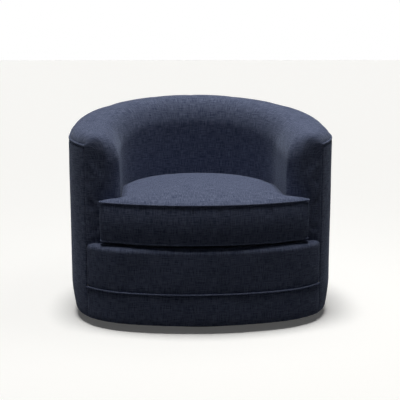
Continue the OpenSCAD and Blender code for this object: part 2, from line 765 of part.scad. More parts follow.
module seat_ring() {
  color(plywood)
    translate([0, 0, seat_rail_z - seat_ring_t])
      linear_extrude(seat_ring_t)
        difference() {
          well_2d(inner_board_in, arm_post_y);
          well_2d(inner_board_in + seat_ring_w, arm_post_y - 1);
        }
}

// Wedge that the drawn-in sides take from the feet of the posts
module hem_wedge() {
  along_outer(seam_turn)
    polygon([
      [1, upper_plate_z - 1], [-hem_in - frame_in, upper_plate_z - 1], [-frame_in, draw_z], [1, draw_z]
    ]);
}

module frame_posts() {
  color(timber)
    difference() {
      all_posts();
      hem_wedge();
    }
}

module all_posts() {
  intersection() {
    translate([0, 0, upper_plate_z])
      linear_extrude(back_r)
        intersection() {
          frame_2d();
          union() {
            translate([-back_r, arm_post_y]) square([body_w, arm_post_t]);
            translate([-back_r, widest_y - post_t]) square([body_w, post_t]);
            for (turn = [30, 70, 110, 150])
              translate([0, widest_y])
                rotate(turn) translate([back_r / 2, -post_t / 2]) square([back_r, post_t]);
          }
        }
    under_seam(rail_drop + layer_gap, upper_plate_z);
  }
}

module corner_blocks() {
  color(timber)
    translate([0, 0, upper_plate_z])
      linear_extrude(seat_rail_z - upper_plate_z)
        intersection() {
          plan_2d(front_rail_back + layer_gap);
          union()
            for (side = [0, 1])
              mirror([side, 0])
                translate([block_mid_x - block_depth, arm_post_y - block_depth - layer_gap])
                  square([frame_depth, block_depth]);
        }
}

module arm_front_boards() {
  color(plywood)
    intersection() {
      translate([0, 0, seat_rail_z + layer_gap])
        linear_extrude(back_r)
          intersection() {
            plan_2d(frame_in);
            union()
              for (side = [0, 1])
                mirror([side, 0])
                  translate([back_r - frame_back, arm_board_y])
                    square([frame_depth, arm_board_t]);
          }
      under_seam(top_drop, seat_rail_z);
    }
}

// Top rail of the wall frame between two lines of depth
module top_rail(from_y, to_y, left, right) {
  color(plywood)
    intersection() {
      translate([0, 0, arm_seam_z - rail_drop - 1])
        linear_extrude(back_r)
          intersection() {
            frame_2d();
            translate([left, from_y]) square([right - left, to_y - from_y]);
          }
      difference() {
        under_seam(top_drop, arm_seam_z - rail_drop);
        under_seam(rail_drop, upper_plate_z);
      }
    }
}

module arm_rail_left() {
  top_rail(front_y, widest_y - 1, -back_r, 0);
}

module arm_rail_right() {
  top_rail(front_y, widest_y - 1, 0, back_r);
}

module back_rail() {
  top_rail(widest_y - 1 + layer_gap, back_r, -back_r, back_r);
}

// Bars and round turns of one flat spring, laid along Y from zero
module spring_2d(run) {
  bars = floor(run / spring_pitch);
  pitch = run / bars;
  bend_x = spring_w / 2 - pitch / 2;
  for (k = [0:bars])
    translate([-bend_x, k * pitch - spring_wire / 2]) square([2 * bend_x, spring_wire]);
  for (k = [0:bars - 1])
    translate([(k % 2 == 0 ? 1 : -1) * bend_x, (k + 0.5) * pitch])
      intersection() {
        difference() {
          circle(pitch / 2 + spring_wire / 2, $fn = 48);
          circle(pitch / 2 - spring_wire / 2, $fn = 48);
        }
        translate([k % 2 == 0 ? 0 : -pitch, -pitch]) square([pitch, 2 * pitch]);
      }
}

function spring_x(k) = (k - (spring_count - 1) / 2) * spring_step;
function spring_front(x) =
  front_cy - sqrt(pow(front_r - front_rail_in - front_rail_t / 2, 2) - x * x);
function spring_back(x) =
  widest_y + sqrt(pow(back_r - inner_board_in - seat_ring_w + 14, 2) - x * x);

module sinuous_springs() {
  color(steel)
    for (k = [0:spring_count - 1])
      translate([spring_x(k), spring_front(spring_x(k)), spring_z])
        linear_extrude(spring_wire)
          spring_2d(spring_back(spring_x(k)) - spring_front(spring_x(k)));
}

module spring_clip() {
  slot = spring_wire + 2 * layer_gap;
  difference() {
    translate([-clip_w / 2, -5, seat_rail_z]) cube([clip_w, 10, clip_top - seat_rail_z]);
    translate([-clip_w / 2 - 1, -slot / 2, seat_rail_z - 1]) cube([clip_w + 2, slot, slot + layer_gap + 1]);
  }
}

module spring_clips() {
  color(steel)
    for (k = [0:spring_count - 1]) {
      translate([spring_x(k), spring_front(spring_x(k)), 0]) spring_clip();
      translate([spring_x(k), spring_back(spring_x(k)), 0]) spring_clip();
    }
}

// Plan of the layers that lie over the springs
module deck_2d(inset) {
  intersection() {
    well_2d(foam_back + layer_gap, front_y - 1);
    plan_2d(inset);
  }
}

module spring_cover() {
  color(felt) translate([0, 0, spring_cover_z]) linear_extrude(spring_cover_t) deck_2d(deck_lap + 2);
}

module deck_pad() {
  color(foam)
    translate([0, 0, deck_pad_z])
      linear_extrude(deck_cloth_z - layer_gap - deck_pad_z) deck_2d(deck_lap + 2);
}

module deck_cloth() {
  color(navy_trim) translate([0, 0, deck_cloth_z]) linear_extrude(cover_t) deck_2d(deck_lap + 3 * layer_gap);
}

module outer_board() {
  end_turn = asin((corner_y - arm_board_y) / corner_r);
  color(felt)
    intersection() {
      along_outer(end_turn)
        translate([-outer_board_in - board_t, draw_z]) square([board_t, back_r * 2]);
      under_seam(welt_room + 2 * layer_gap, draw_z);
    }
}

module inner_board() {
  color(felt)
    intersection() {
      translate([0, 0, seat_rail_z + layer_gap])
        linear_extrude(back_r)
          difference() {
            well_2d(inner_board_in, arm_board_y);
            well_2d(inner_board_in + board_t, arm_board_y - 1);
          }
      under_seam(top_drop, seat_rail_z);
    }
}

// Foam between two stations of the lining, behind its cover
module lining_foam(first, last) {
  skinned = grid_inset(lining_grid, lining_cut(cover_t + 3 * layer_gap), false);
  outer = [for (row = skinned) [for (k = [first:last]) row[k] + [0, 0, layer_gap]]];
  inner = [for (row = core_grid) [for (k = [first:last]) row[k] + [0, 0, layer_gap]]];
  color(foam) sheet(outer, inner, false);
}
foam_joint = face_count + bend_count;

module arm_foam_right() {
  lining_foam(1, foam_joint);
}

module back_foam() {
  lining_foam(foam_joint, station_count - 1 - foam_joint);
}

module arm_foam_left() {
  lining_foam(station_count - 1 - foam_joint, station_count - 2);
}

module inside_cover() {
  color(navy) sheet(lining_grid, grid_inset(lining_grid, lining_cut(cover_t), false), false);
}

// Stations of the outer cover, from the right front seam round the back: a point of the outer
// line, the way inwards, and the share of the hem's draw
cover_corner_steps = 9;
cover_side_steps = 4;
cover_back_steps = 24;
cover_levels = [0, 0.12, 0.28, 0.5, 0.75, 1];
cover_right = concat(
  [for (k = [0:cover_corner_steps]) let (t = (seam_turn - seam_slit) * (1 - k / cover_corner_steps))
    [corner_point(t, 0), [-cos(t), sin(t)], lerp(1, 0.1, t / seam_turn)]],
  [for (k = [1:cover_side_steps - 1])
    [[back_r, lerp(corner_y, widest_y, k / cover_side_steps)], [-1, 0], 1]],
  [for (k = [0:cover_back_steps]) let (t = 90 * k / cover_back_steps)
    [[back_r * cos(t), widest_y + back_r * sin(t)], [-cos(t), -sin(t)], 1]]
);
function mirrored_stations(right) =
  concat(right, [for (k = [len(right) - 2:-1:0])
    [mirror_x(right[k][0]), mirror_x(right[k][1]), right[k][2]]]);
function cover_grid(inset) =
  let (line = mirrored_stations(cover_right))
  concat(
    [for (level = cover_levels) [for (s = line)
      let (drawn = hem_in * s[2] * pow(1 - level, 1.6))
      [each (s[0] + s[1] * (inset + drawn)), lerp(hem_z, draw_z, level)]]],
    [[for (s = line) let (p = s[0] + s[1] * inset) [each p, seam_z(p[1]) - welt_room - layer_gap]]]
  );

module outer_cover() {
  color(navy) sheet(cover_grid(0), cover_grid(cover_t), false);
}

// Stations along the front, right to left: a point of the outer line, the way inwards, and how far
// the turned-over edge reaches before it meets the arm's front board
front_turn_steps = 5;
front_arc_steps = 7;
function front_corner_station(t) =
  [corner_point(t, 0), [-cos(t), sin(t)],
    min(deck_lap, corner_r - (corner_y - arm_board_y + layer_gap) / sin(t))];
function front_arc_station(t) =
  [[front_r * sin(t), front_cy - front_r * cos(t)], [-sin(t), cos(t)], deck_lap];
function front_half_line(first_turn) = concat(
  [for (k = [0:front_turn_steps - 1])
    front_corner_station(lerp(first_turn, corner_turn, k / front_turn_steps))],
  [for (k = [0:front_arc_steps]) front_arc_station(front_half_turn * (1 - k / front_arc_steps))]
);
function front_line(first_turn) = mirrored_stations(front_half_line(first_turn));

// Grid of a profile of insets and heights along the front, whose last point is the turned edge
function front_grid(line, profile) =
  [for (w = [0:len(profile) - 1]) [for (s = line)
    let (inset = w == len(profile) - 1 ? s[2] : profile[w][0])
    [each (s[0] + s[1] * inset), profile[w][1]]]];
shoulder_turns = [0:18:90];
function shoulder_profile(inset, low_z, top) =
  let (r = shoulder_r - inset)
  concat(
    [[inset, low_z]],
    [for (t = shoulder_turns) [shoulder_r - r * cos(t), top - r + r * sin(t)]],
    [[deck_lap, top]]
  );

module front_pad() {
  line = front_line(seam_turn + seam_slit);
  top = deck_cloth_z - layer_gap;
  back = front_rail_in - 4 * layer_gap;
  bend = front_rail_t / 3;
  inner = concat(
    [[back, upper_plate_z]],
    [for (t = shoulder_turns) [back + bend - bend * cos(t), deck_pad_z - bend + bend * sin(t)]],
    [[deck_lap, deck_pad_z]]
  );
  outer = shoulder_profile(outer_board_in, upper_plate_z, top);
  color(foam) sheet(front_grid(line, outer), front_grid(line, inner), false);
}

module front_cover() {
  line = front_line(seam_turn + seam_slit);
  low_z = front_welt_z + front_welt_r + layer_gap;
  outer = shoulder_profile(0, low_z, deck_z);
  inner = shoulder_profile(cover_t, low_z, deck_z - cover_t);
  color(navy) sheet(front_grid(line, outer), front_grid(line, inner), false);
}

module bottom_band() {
  color(navy)
    translate([0, 0, hem_z])
      linear_extrude(front_welt_z - front_welt_r - layer_gap - hem_z)
        front_strip_2d(0, cover_t, seam_turn + seam_slit);
}

// Path of the top seam's welt, from the right front seam round the back to the left one
welt_steps = 7;
function welt_half() =
  let (end = seam_turn - 1)
  concat(
    [for (k = [0:welt_steps]) let (p = corner_point(end * (1 - k / welt_steps), 2))
      [each p, seam_z(p[1])]],
    [for (k = [1:3]) let (y = lerp(corner_y, widest_y, k / 3)) [back_r - 2, y, seam_z(y)]],
    [for (k = [1:2 * welt_steps]) let (t = 90 * k / (2 * welt_steps), y = widest_y + (back_r - 2) * sin(t))
      [(back_r - 2) * cos(t), y, seam_z(y)]]
  );
welt_right = welt_half();
welt_path = concat(welt_right, [for (k = [len(welt_right) - 2:-1:0]) mirror_x(welt_right[k])]);

module top_welt() {
  color(navy_trim) tube(welt_path, top_welt_r, false);
}

module front_welt() {
  path = [for (s = front_line(seam_turn + 0.5)) [each s[0], front_welt_z]];
  color(navy_trim) tube(path, front_welt_r, false);
}

module dust_cover() {
  color(black_paint)
    translate([0, 0, hem_z + 0.3])
      linear_extrude(bottom_frame_z - hem_z - 0.6)
        difference() {
          plan_2d(hem_frame_in);
          circle(hole_r + 2, $fn = 180);
        }
}

module cushion_core() {
  gap = panel_t + layer_gap;
  low = raised(cushion_low_rings, gap);
  top = raised(cushion_top_rings, -gap);
  rings = concat(
    [low[2], low[1], drawn_ring(gap, cushion_low_z + gap)],
    [drawn_ring(boxing_draw + gap, mid_z), drawn_ring(gap, cushion_top_z - gap)],
    [for (k = [1:len(top) - 1]) top[k]]
  );
  color(foam) ringed_solid(rings, cushion_low_pole + [0, 0, gap], cushion_pole - [0, 0, gap]);
}

module cushion_top_panel() {
  inner = raised(cushion_top_rings, -panel_t);
  color(navy) domed_panel(cushion_top_rings, inner, cushion_pole, cushion_pole - [0, 0, panel_t]);
}

module cushion_bottom_panel() {
  outer = [for (ring = cushion_low_rings) reversed(ring)];
  inner = raised(outer, panel_t);
  color(navy) domed_panel(outer, inner, cushion_low_pole, cushion_low_pole + [0, 0, panel_t]);
}

module cushion_boxing() {
  edge = panel_t + layer_gap;
  heights = [[0, cushion_low_z + edge], [boxing_draw, mid_z], [0, cushion_top_z - edge]];
  outer = [for (h = heights) drawn_ring(h[0], h[1])];
  inner = [for (h = heights) drawn_ring(h[0] + panel_t, h[1])];
  color(navy) sheet(outer, inner, true);
}

function piping_path(z) = drawn_ring(-piping_r - layer_gap, z);

module cushion_piping_top() {
  color(navy_trim) tube(piping_path(cushion_top_z), piping_r, true);
}

module cushion_piping_bottom() {
  color(navy_trim) tube(piping_path(cushion_low_z), piping_r, true);
}

module zipper_tape() {
  color(black_paint)
    translate([0, widest_y, mid_z - zip_tape_h / 2])
      rotate_extrude(angle = 2 * zip_turn, start = 90 - zip_turn, $fn = 180)
        translate([zip_r, 0]) square([zip_tape_t, zip_tape_h]);
}

module zipper_slider() {
  r = zip_r + zip_tape_t + 0.05;
  slider_turn = 3;
  slider_h = 10;
  pull_turn = 1.4;
  pull_h = 19;
  color(steel)
    translate([0, widest_y, mid_z]) {
      rotate_extrude(angle = slider_turn, start = 90 - slider_turn / 2, $fn = 180)
        translate([r, -slider_h / 2]) square([zip_slider_t, slider_h]);
      rotate_extrude(angle = pull_turn, start = 90 - pull_turn / 2, $fn = 180)
        translate([r, -slider_h / 2 - pull_h]) square([zip_slider_t / 2, pull_h]);
    }
}

floor_glides();
plinth_ring();
base_board();
lower_plate();
lower_plate_screws();
king_bolt();
king_washer();
king_nut();
bearing_balls();
ball_cage();
upper_plate();
plate_bolts();
cross_rails();
bottom_frame();
front_rail();
seat_ring();
frame_posts();
corner_blocks();
arm_front_boards();
arm_rail_left();
arm_rail_right();
back_rail();
sinuous_springs();
spring_clips();
spring_cover();
deck_pad();
deck_cloth();
outer_board();
inner_board();
back_foam();
arm_foam_left();
arm_foam_right();
inside_cover();
outer_cover();
front_pad();
front_cover();
bottom_band();
top_welt();
front_welt();
dust_cover();
cushion_core();
cushion_top_panel();
cushion_boxing();
cushion_bottom_panel();
cushion_piping_top();
cushion_piping_bottom();
zipper_tape();
zipper_slider();
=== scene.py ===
import math

import bpy
import numpy as np
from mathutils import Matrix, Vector
from mathutils.geometry import delaunay_2d_cdt


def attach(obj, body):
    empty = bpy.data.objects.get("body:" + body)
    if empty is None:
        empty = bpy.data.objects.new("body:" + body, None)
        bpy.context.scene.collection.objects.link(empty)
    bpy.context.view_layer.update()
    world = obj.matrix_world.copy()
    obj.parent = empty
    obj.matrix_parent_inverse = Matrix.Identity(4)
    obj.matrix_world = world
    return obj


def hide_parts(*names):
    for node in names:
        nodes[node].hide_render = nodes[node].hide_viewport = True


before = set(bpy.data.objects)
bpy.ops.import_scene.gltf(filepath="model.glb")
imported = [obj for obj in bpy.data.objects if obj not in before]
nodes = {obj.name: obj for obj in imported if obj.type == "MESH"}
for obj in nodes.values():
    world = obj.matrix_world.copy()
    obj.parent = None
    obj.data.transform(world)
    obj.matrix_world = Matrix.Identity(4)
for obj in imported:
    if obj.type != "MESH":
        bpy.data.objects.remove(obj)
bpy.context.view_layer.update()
scene = bpy.context.scene
scene.view_settings.view_transform = "Standard"


# Studio. A plain pale floor and a white surround. A wide lamp straight overhead gives most of the
# light, with a soft box beside it and a weak broad light from the front left. Floor and surround
# are pale only to the camera's rays and to mirrored and clear ones, and grey or dim to all others.
warm_white = (1.0, 0.98, 0.94)


def area_light(name, location, target, width, depth, power):
    data = bpy.data.lights.new(name, "AREA")
    data.shape = "RECTANGLE"
    data.size = width
    data.size_y = depth
    data.energy = power
    light = bpy.data.objects.new(name, data)
    scene.collection.objects.link(light)
    light.location = location
    aim = Vector(target) - Vector(location)
    light.rotation_euler = aim.to_track_quat("-Z", "Y").to_euler()
    return light


box_light = area_light("soft box", (0.35, 0.0, 1.6), (0.0, 0.0, 0.3), 1.0, 0.8, 2.9)
box_light.visible_camera = False
box_light.data.color = warm_white
area_light("front light", (-2.8, -2.2, 1.3), (0.0, 0.0, 0.35), 3.0, 2.0, 0.7)
overhead_data = bpy.data.lights.new("overhead light", "SUN")
overhead_data.energy = 2.7
overhead_data.angle = math.radians(22)
overhead_data.color = warm_white
overhead = bpy.data.objects.new("overhead light", overhead_data)
scene.collection.objects.link(overhead)
overhead.location = (0, 0, 3)
overhead.rotation_euler = (0, math.radians(-1.5), 0)


def seen_rays(tree):
    """1 for rays from the camera and off or through shiny and clear things, 0 for all others."""
    path = tree.nodes.new("ShaderNodeLightPath")
    seen = path.outputs["Is Camera Ray"]
    for also in ("Is Glossy Ray", "Is Transmission Ray"):
        either = tree.nodes.new("ShaderNodeMath")
        either.operation = "MAXIMUM"
        tree.links.new(seen, either.inputs[0])
        tree.links.new(path.outputs[also], either.inputs[1])
        seen = either.outputs[0]
    return seen


world = bpy.data.worlds.new("white surround")
scene.world = world
world.use_nodes = True
wt = world.node_tree
wt.nodes.clear()
w_out = wt.nodes.new("ShaderNodeOutputWorld")
w_mix = wt.nodes.new("ShaderNodeMixShader")
w_fill = wt.nodes.new("ShaderNodeBackground")
w_fill.inputs["Color"].default_value = (0.75, 0.87, 1.0, 1)
w_fill.inputs["Strength"].default_value = 0.010
w_seen = wt.nodes.new("ShaderNodeBackground")
w_seen.inputs["Color"].default_value = (1, 1, 1, 1)
w_seen.inputs["Strength"].default_value = 1.0
wt.links.new(seen_rays(wt), w_mix.inputs["Fac"])
wt.links.new(w_fill.outputs[0], w_mix.inputs[1])
wt.links.new(w_seen.outputs[0], w_mix.inputs[2])
wt.links.new(w_mix.outputs[0], w_out.inputs["Surface"])

floor_mesh = bpy.data.meshes.new("floor")
floor_mesh.from_pydata([(-60, -60, 0), (60, -60, 0), (60, 60, 0), (-60, 60, 0)], [], [(0, 1, 2, 3)])
floor = bpy.data.objects.new("floor", floor_mesh)
scene.collection.objects.link(floor)
floor.location.z = -0.0005
floor_paint = bpy.data.materials.new("floor paint")
floor_paint.use_nodes = True
ft = floor_paint.node_tree
floor_bsdf = ft.nodes["Principled BSDF"]
floor_bsdf.inputs["Roughness"].default_value = 0.9
floor_bsdf.inputs["Specular IOR Level"].default_value = 0.1
f_seen = seen_rays(ft)
f_tone = ft.nodes.new("ShaderNodeMix")
f_tone.data_type = "RGBA"
f_tone.inputs[6].default_value = (0.08, 0.08, 0.08, 1)
f_tone.inputs[7].default_value = (0.98, 0.99, 1.0, 1)
floor_bsdf.inputs["Emission Color"].default_value = (1, 1, 1, 1)
f_glow = ft.nodes.new("ShaderNodeMath")
f_glow.operation = "MULTIPLY"
f_glow.inputs[1].default_value = 0.07
ft.links.new(f_seen, f_glow.inputs[0])
ft.links.new(f_glow.outputs[0], floor_bsdf.inputs["Emission Strength"])
ft.links.new(f_seen, f_tone.inputs[0])
ft.links.new(f_tone.outputs[2], floor_bsdf.inputs["Base Color"])
floor_mesh.materials.append(floor_paint)

# Camera. Fitted to the outline and seams in the photo: a long lens, a little above the chair's
# top and a few degrees to its left.
widest_y = -0.0325
camera_data = bpy.data.cameras.new("camera")
camera_data.sensor_width = 36
camera_data.lens = 81
camera_data.shift_x = 0.59 / 400
camera = bpy.data.objects.new("camera", camera_data)
scene.collection.objects.link(camera)
camera_turn = math.radians(3.66)
camera_far = 3.093
camera.location = (
    -camera_far * math.sin(camera_turn),
    widest_y - camera_far * math.cos(camera_turn),
    0.8896,
)
camera.rotation_euler = (math.radians(90 - 9.64), 0, -camera_turn)
scene.camera = camera


# Fabric. The chair is covered in one dark navy linen-look weave with slubs in both thread
# directions. It reads a UV map laid out in metres, so threads run along each cut panel.
def shader(name):
    mat = bpy.data.materials.new(name)
    mat.use_nodes = True
    tree = mat.node_tree
    return mat, tree, tree.nodes["Principled BSDF"]


def math_node(tree, operation, a, b=None, clamp=False):
    node = tree.nodes.new("ShaderNodeMath")
    node.operation = operation
    node.use_clamp = clamp
    for slot, value in ((0, a), (1, b)):
        if value is None:
            continue
        if isinstance(value, (int, float)):
            node.inputs[slot].default_value = value
        else:
            tree.links.new(value, node.inputs[slot])
    return node.outputs[0]


def mix_color(tree, fac, a, b):
    node = tree.nodes.new("ShaderNodeMix")
    node.data_type = "RGBA"
    if isinstance(fac, float):
        node.inputs[0].default_value = fac
    else:
        tree.links.new(fac, node.inputs[0])
    for slot, value in ((6, a), (7, b)):
        if isinstance(value, tuple):
            node.inputs[slot].default_value = (*value, 1)
        else:
            tree.links.new(value, node.inputs[slot])
    return node.outputs[2]


def noise(tree, vector, scale, detail=2.0, rough=0.5):
    node = tree.nodes.new("ShaderNodeTexNoise")
    node.inputs["Scale"].default_value = scale
    node.inputs["Detail"].default_value = detail
    node.inputs["Roughness"].default_value = rough
    tree.links.new(vector, node.inputs["Vector"])
    return node.outputs["Fac"]


def stretched(tree, vector, scale):
    node = tree.nodes.new("ShaderNodeMapping")
    node.vector_type = "TEXTURE"
    node.inputs["Scale"].default_value = scale
    tree.links.new(vector, node.inputs["Vector"])
    return node.outputs["Vector"]


def woven(name, dark, light, pitch=0.0013, sheen=0.2, bump=0.6):
    mat, tree, bsdf = shader(name)
    uv = tree.nodes.new("ShaderNodeUVMap")
    uv.uv_map = "threads"
    flat = uv.outputs["UV"]
    split = tree.nodes.new("ShaderNodeSeparateXYZ")
    tree.links.new(flat, split.inputs[0])
    across = math_node(tree, "SINE", math_node(tree, "MULTIPLY", split.outputs["X"], math.pi / pitch))
    along = math_node(tree, "SINE", math_node(tree, "MULTIPLY", split.outputs["Y"], math.pi / pitch))
    over = math_node(tree, "MULTIPLY", across, along)
    warp_slub = noise(tree, stretched(tree, flat, (0.0021, 0.030, 1)), 1.0, 3.0, 0.65)
    weft_slub = noise(tree, stretched(tree, flat, (0.036, 0.0021, 1)), 1.0, 3.0, 0.65)
    grain = noise(tree, stretched(tree, flat, (0.0018, 0.0018, 1)), 1.0, 2.0, 0.6)
    slub = math_node(tree, "ADD", warp_slub, weft_slub)
    tone = math_node(tree, "MULTIPLY", slub, 2.2)
    tone = math_node(tree, "ADD", tone, math_node(tree, "MULTIPLY", grain, 0.6))
    tone = math_node(tree, "SUBTRACT", tone, 2.02)
    tone = math_node(tree, "ADD", tone, math_node(tree, "MULTIPLY", over, 0.12), clamp=True)
    tree.links.new(mix_color(tree, tone, dark, light), bsdf.inputs["Base Color"])
    height = math_node(tree, "ADD", math_node(tree, "MULTIPLY", over, 0.35), slub)
    height = math_node(tree, "ADD", height, math_node(tree, "MULTIPLY", grain, 0.5))
    relief = tree.nodes.new("ShaderNodeBump")
    relief.inputs["Strength"].default_value = bump
    relief.inputs["Distance"].default_value = 0.0007
    tree.links.new(height, relief.inputs["Height"])
    tree.links.new(relief.outputs[0], bsdf.inputs["Normal"])
    bsdf.inputs["Roughness"].default_value = 0.88
    bsdf.inputs["Specular IOR Level"].default_value = 0.06
    bsdf.inputs["Sheen Weight"].default_value = sheen
    bsdf.inputs["Sheen Roughness"].default_value = 0.4
    bsdf.inputs["Sheen Tint"].default_value = (0.68, 0.79, 1.0, 1)
    return mat


navy = woven("navy linen", (0.030, 0.042, 0.090), (0.176, 0.205, 0.310))


def smooth_noise(u, v, seed):
    """Slow waves over a panel from a few sines with fixed phases, between about -1 and 1."""
    rng = np.random.default_rng(seed)
    total = np.zeros(np.broadcast(u, v).shape)
    for _ in range(7):
        wave = rng.uniform(9, 34, 2) * rng.choice([-1, 1], 2)
        total = total + np.sin(u * wave[0] + v * wave[1] + rng.uniform(0, 6.28))
    return total / 4


def surface(name, points, uv, mat, loop=False):
    """Quads over a grid of points, with a UV map in metres along the cloth."""
    rows, cols = points.shape[:2]
    faces = []
    flat = []
    for r in range(rows - 1):
        for c in range(cols if loop else cols - 1):
            d = (c + 1) % cols
            faces.append((r * cols + c, r * cols + d, (r + 1) * cols + d, (r + 1) * cols + c))
            flat.extend([uv[r, c], uv[r, c + 1], uv[r + 1, c + 1], uv[r + 1, c]])
    mesh = bpy.data.meshes.new(name)
    mesh.from_pydata(points.reshape(-1, 3).tolist(), [], faces)
    layer = mesh.uv_layers.new(name="threads")
    layer.data.foreach_set("uv", np.array(flat, dtype=np.float32).reshape(-1))
    mesh.materials.append(mat)
    mesh.shade_smooth()
    obj = bpy.data.objects.new(name, mesh)
    scene.collection.objects.link(obj)
    return obj


def subdivide(obj, levels=1):
    mod = obj.modifiers.new("smooth", "SUBSURF")
    mod.levels = levels
    mod.render_levels = levels
    return mod


# Outer cover. One upholstery panel stapled under the bottom frame, pulled up over fibreboard and
# sewn to the top welt. Its front edges are blind-sewn to the padded fronts, and its bottom edge
# turns under 25 mm over the floor.
back_r = 0.440
corner_r = 0.274
corner_x = back_r - corner_r
corner_y = widest_y - 0.076
front_y = widest_y - 0.375
front_drop = corner_y - front_y
front_r = (corner_x**2 + front_drop**2 - corner_r**2) / (2 * (front_drop - corner_r))
front_cy = front_y + front_r
corner_turn = math.atan2(front_cy - corner_y, corner_x)
seam_turn = math.radians(38.4)
arm_slope = math.radians(5.2)
rim_slope = math.radians(9.1)
seam_y = corner_y - corner_r * math.sin(seam_turn)
rim_z = 0.582 + (widest_y - seam_y) * math.tan(arm_slope)
blend_run = 0.5 * math.tan((rim_slope - arm_slope) / 2)
blend_start = widest_y - blend_run * math.cos(arm_slope)
blend_end = widest_y + blend_run * math.cos(rim_slope)
blend_y = blend_start - 0.5 * math.sin(arm_slope)
blend_z = rim_z - blend_run * math.sin(arm_slope) + 0.5 * math.cos(arm_slope)
hem_z = 0.025
hem_return = 0.0191


def seam_z(y):
    """Height of the top seam at a depth: it rises along the arms and a little more to the back."""
    y = np.asarray(y, dtype=float)
    arm = rim_z + (y - widest_y) * math.tan(arm_slope)
    bend = blend_z - np.sqrt(np.maximum(0.25 - (y - blend_y) ** 2, 0))
    slope = rim_z + (y - widest_y) * math.tan(rim_slope)
    return np.where(y < blend_start, arm, np.where(y > blend_end, slope, bend))


def corner_point(turn, inset):
    r = corner_r - inset
    return np.array([corner_x + r * math.cos(turn), corner_y - r * math.sin(turn)])


def outer_plan(run, inset):
    """Point of the outer plan at a run from the right front seam, going round the back."""
    arc = corner_r * seam_turn
    side = corner_y, widest_y
    total = 2 * (arc + side[1] - side[0]) + math.pi * back_r
    mirrored = run > total / 2
    s = total - run if mirrored else run
    if s < arc:
        p = corner_point(seam_turn - s / corner_r, inset)
    elif s < arc + side[1] - side[0]:
        p = np.array([back_r - inset, corner_y + s - arc])
    else:
        t = (s - arc - side[1] + side[0]) / back_r
        p = np.array([(back_r - inset) * math.cos(t), widest_y + (back_r - inset) * math.sin(t)])
    return np.array([-p[0], p[1]]) if mirrored else p


cover_run = 2 * (corner_r * seam_turn + widest_y - corner_y) + math.pi * back_r
draw_z = 0.120


def hem_draw(run, z):
    """How far the cover is drawn in below the outer board, least beside the front seams."""
    from_seam = min(run, cover_run - run) / (corner_r * seam_turn)
    share = 0.1 + 0.9 * min(from_seam, 1)
    return 0.016 * share * max(0, (draw_z - z) / (draw_z - hem_z)) ** 1.6


def outer_cover_grid():
    columns = np.concatenate([
        [0.0001, 0.0021, 0.0021, 0.0024],
        np.linspace(0.0036, 0.03, 8),
        np.linspace(0.04, cover_run - 0.04, 210),
        np.linspace(cover_run - 0.03, cover_run - 0.0036, 8),
        [cover_run - 0.0024, cover_run - 0.0021, cover_run - 0.0021, cover_run - 0.0001],
    ])
    edge_in = np.zeros(len(columns))
    edge_in[[0, -1]] = 0.012
    edge_in[[1, -2]] = 0.010
    edge_in[[2, -3]] = 0.004
    edge_in[[3, -4]] = 0.0012
    shares = [np.linspace(0, 0.06, 7), np.linspace(0.1, 0.93, 34), np.linspace(0.95, 1, 6)]
    shares = np.concatenate(shares)
    points, uv = [], []
    for under, up in ((1.0, 0.00015), (0.45, 0.0), (0.12, 0.0001)):
        row, flat = [], []
        for c, run in enumerate(columns):
            drawn = hem_draw(run, hem_z)
            inset = max(drawn + (hem_return - drawn) * under, drawn + 0.0022)
            p = outer_plan(run, inset + edge_in[c] * 0.3)
            row.append([p[0], p[1], hem_z + up])
            flat.append([run, drawn - inset])
        points.append(row)
        uv.append(flat)
    for share in shares:
        row, flat = [], []
        for c, run in enumerate(columns):
            p = outer_plan(run, 0)
            top = float(seam_z(p[1])) - 0.0048
            z = hem_z + 0.0018 + share * (top - hem_z - 0.0018)
            from_side = min(run, cover_run - run)
            soft = min(1, from_side / 0.12) * min(1, (z - hem_z) / 0.12)
            soft *= min(1, (top - z) / 0.12 + 0.05)
            wave = 0.0011 * soft * float(smooth_noise(run, z * 0.6, 3))
            pull = 0.0007 * math.exp(-(top - z) / 0.018) * math.sin(run * 210 + 1.5 * math.sin(run * 37))
            round_in = 0.0022 * math.exp(-(top - z) / 0.004)
            round_in += 0.0018 * math.exp(-(z - hem_z - 0.0018) / 0.0025)
            side_in = 0.0024 * math.exp(-from_side / 0.0045)
            edge = edge_in[c] * (0.2 + 0.8 * min(1, (z - hem_z) / 0.03))
            inset = edge + hem_draw(run, z) + round_in + side_in - wave - pull
            p = outer_plan(run, inset)
            row.append([p[0], p[1], z])
            flat.append([run, z])
        points.append(row)
        uv.append(flat)
    row, flat = [], []
    for c, run in enumerate(columns):
        p = outer_plan(run, 0.0075 + edge_in[c] * 0.3)
        row.append([p[0], p[1], float(seam_z(p[1])) - 0.0035])
        flat.append([run, float(seam_z(p[1]))])
    points.append(row)
    uv.append(flat)
    return np.array(points), np.array(uv)


points, uv = outer_cover_grid()
outer_cover = surface("outer_cover_fabric", points, uv, navy)
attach(outer_cover, "chair")
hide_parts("outer_cover")


# Inside cover. The same cloth runs from the top seam over the padded rim, down the arms' fronts
# and inner faces and into the crevice beside the seat. Foam fills it out, so it is simulated
# as cloth under a light pressure with its sewn edges held.
inner_x = 0.269
arm_face_y = -0.292
arm_corner_r = 0.045
corner_centre = np.array([inner_x + arm_corner_r, arm_face_y + arm_corner_r])
seam_inset = 0.0063
seam_point = corner_point(seam_turn, 0.0001)
face_dx, face_dy = seam_point - [corner_centre[0], arm_face_y]
face_r = (face_dx**2 + face_dy**2) / (2 * face_dy)
face_sweep = math.asin(face_dx / face_r)
deck_z = 0.272


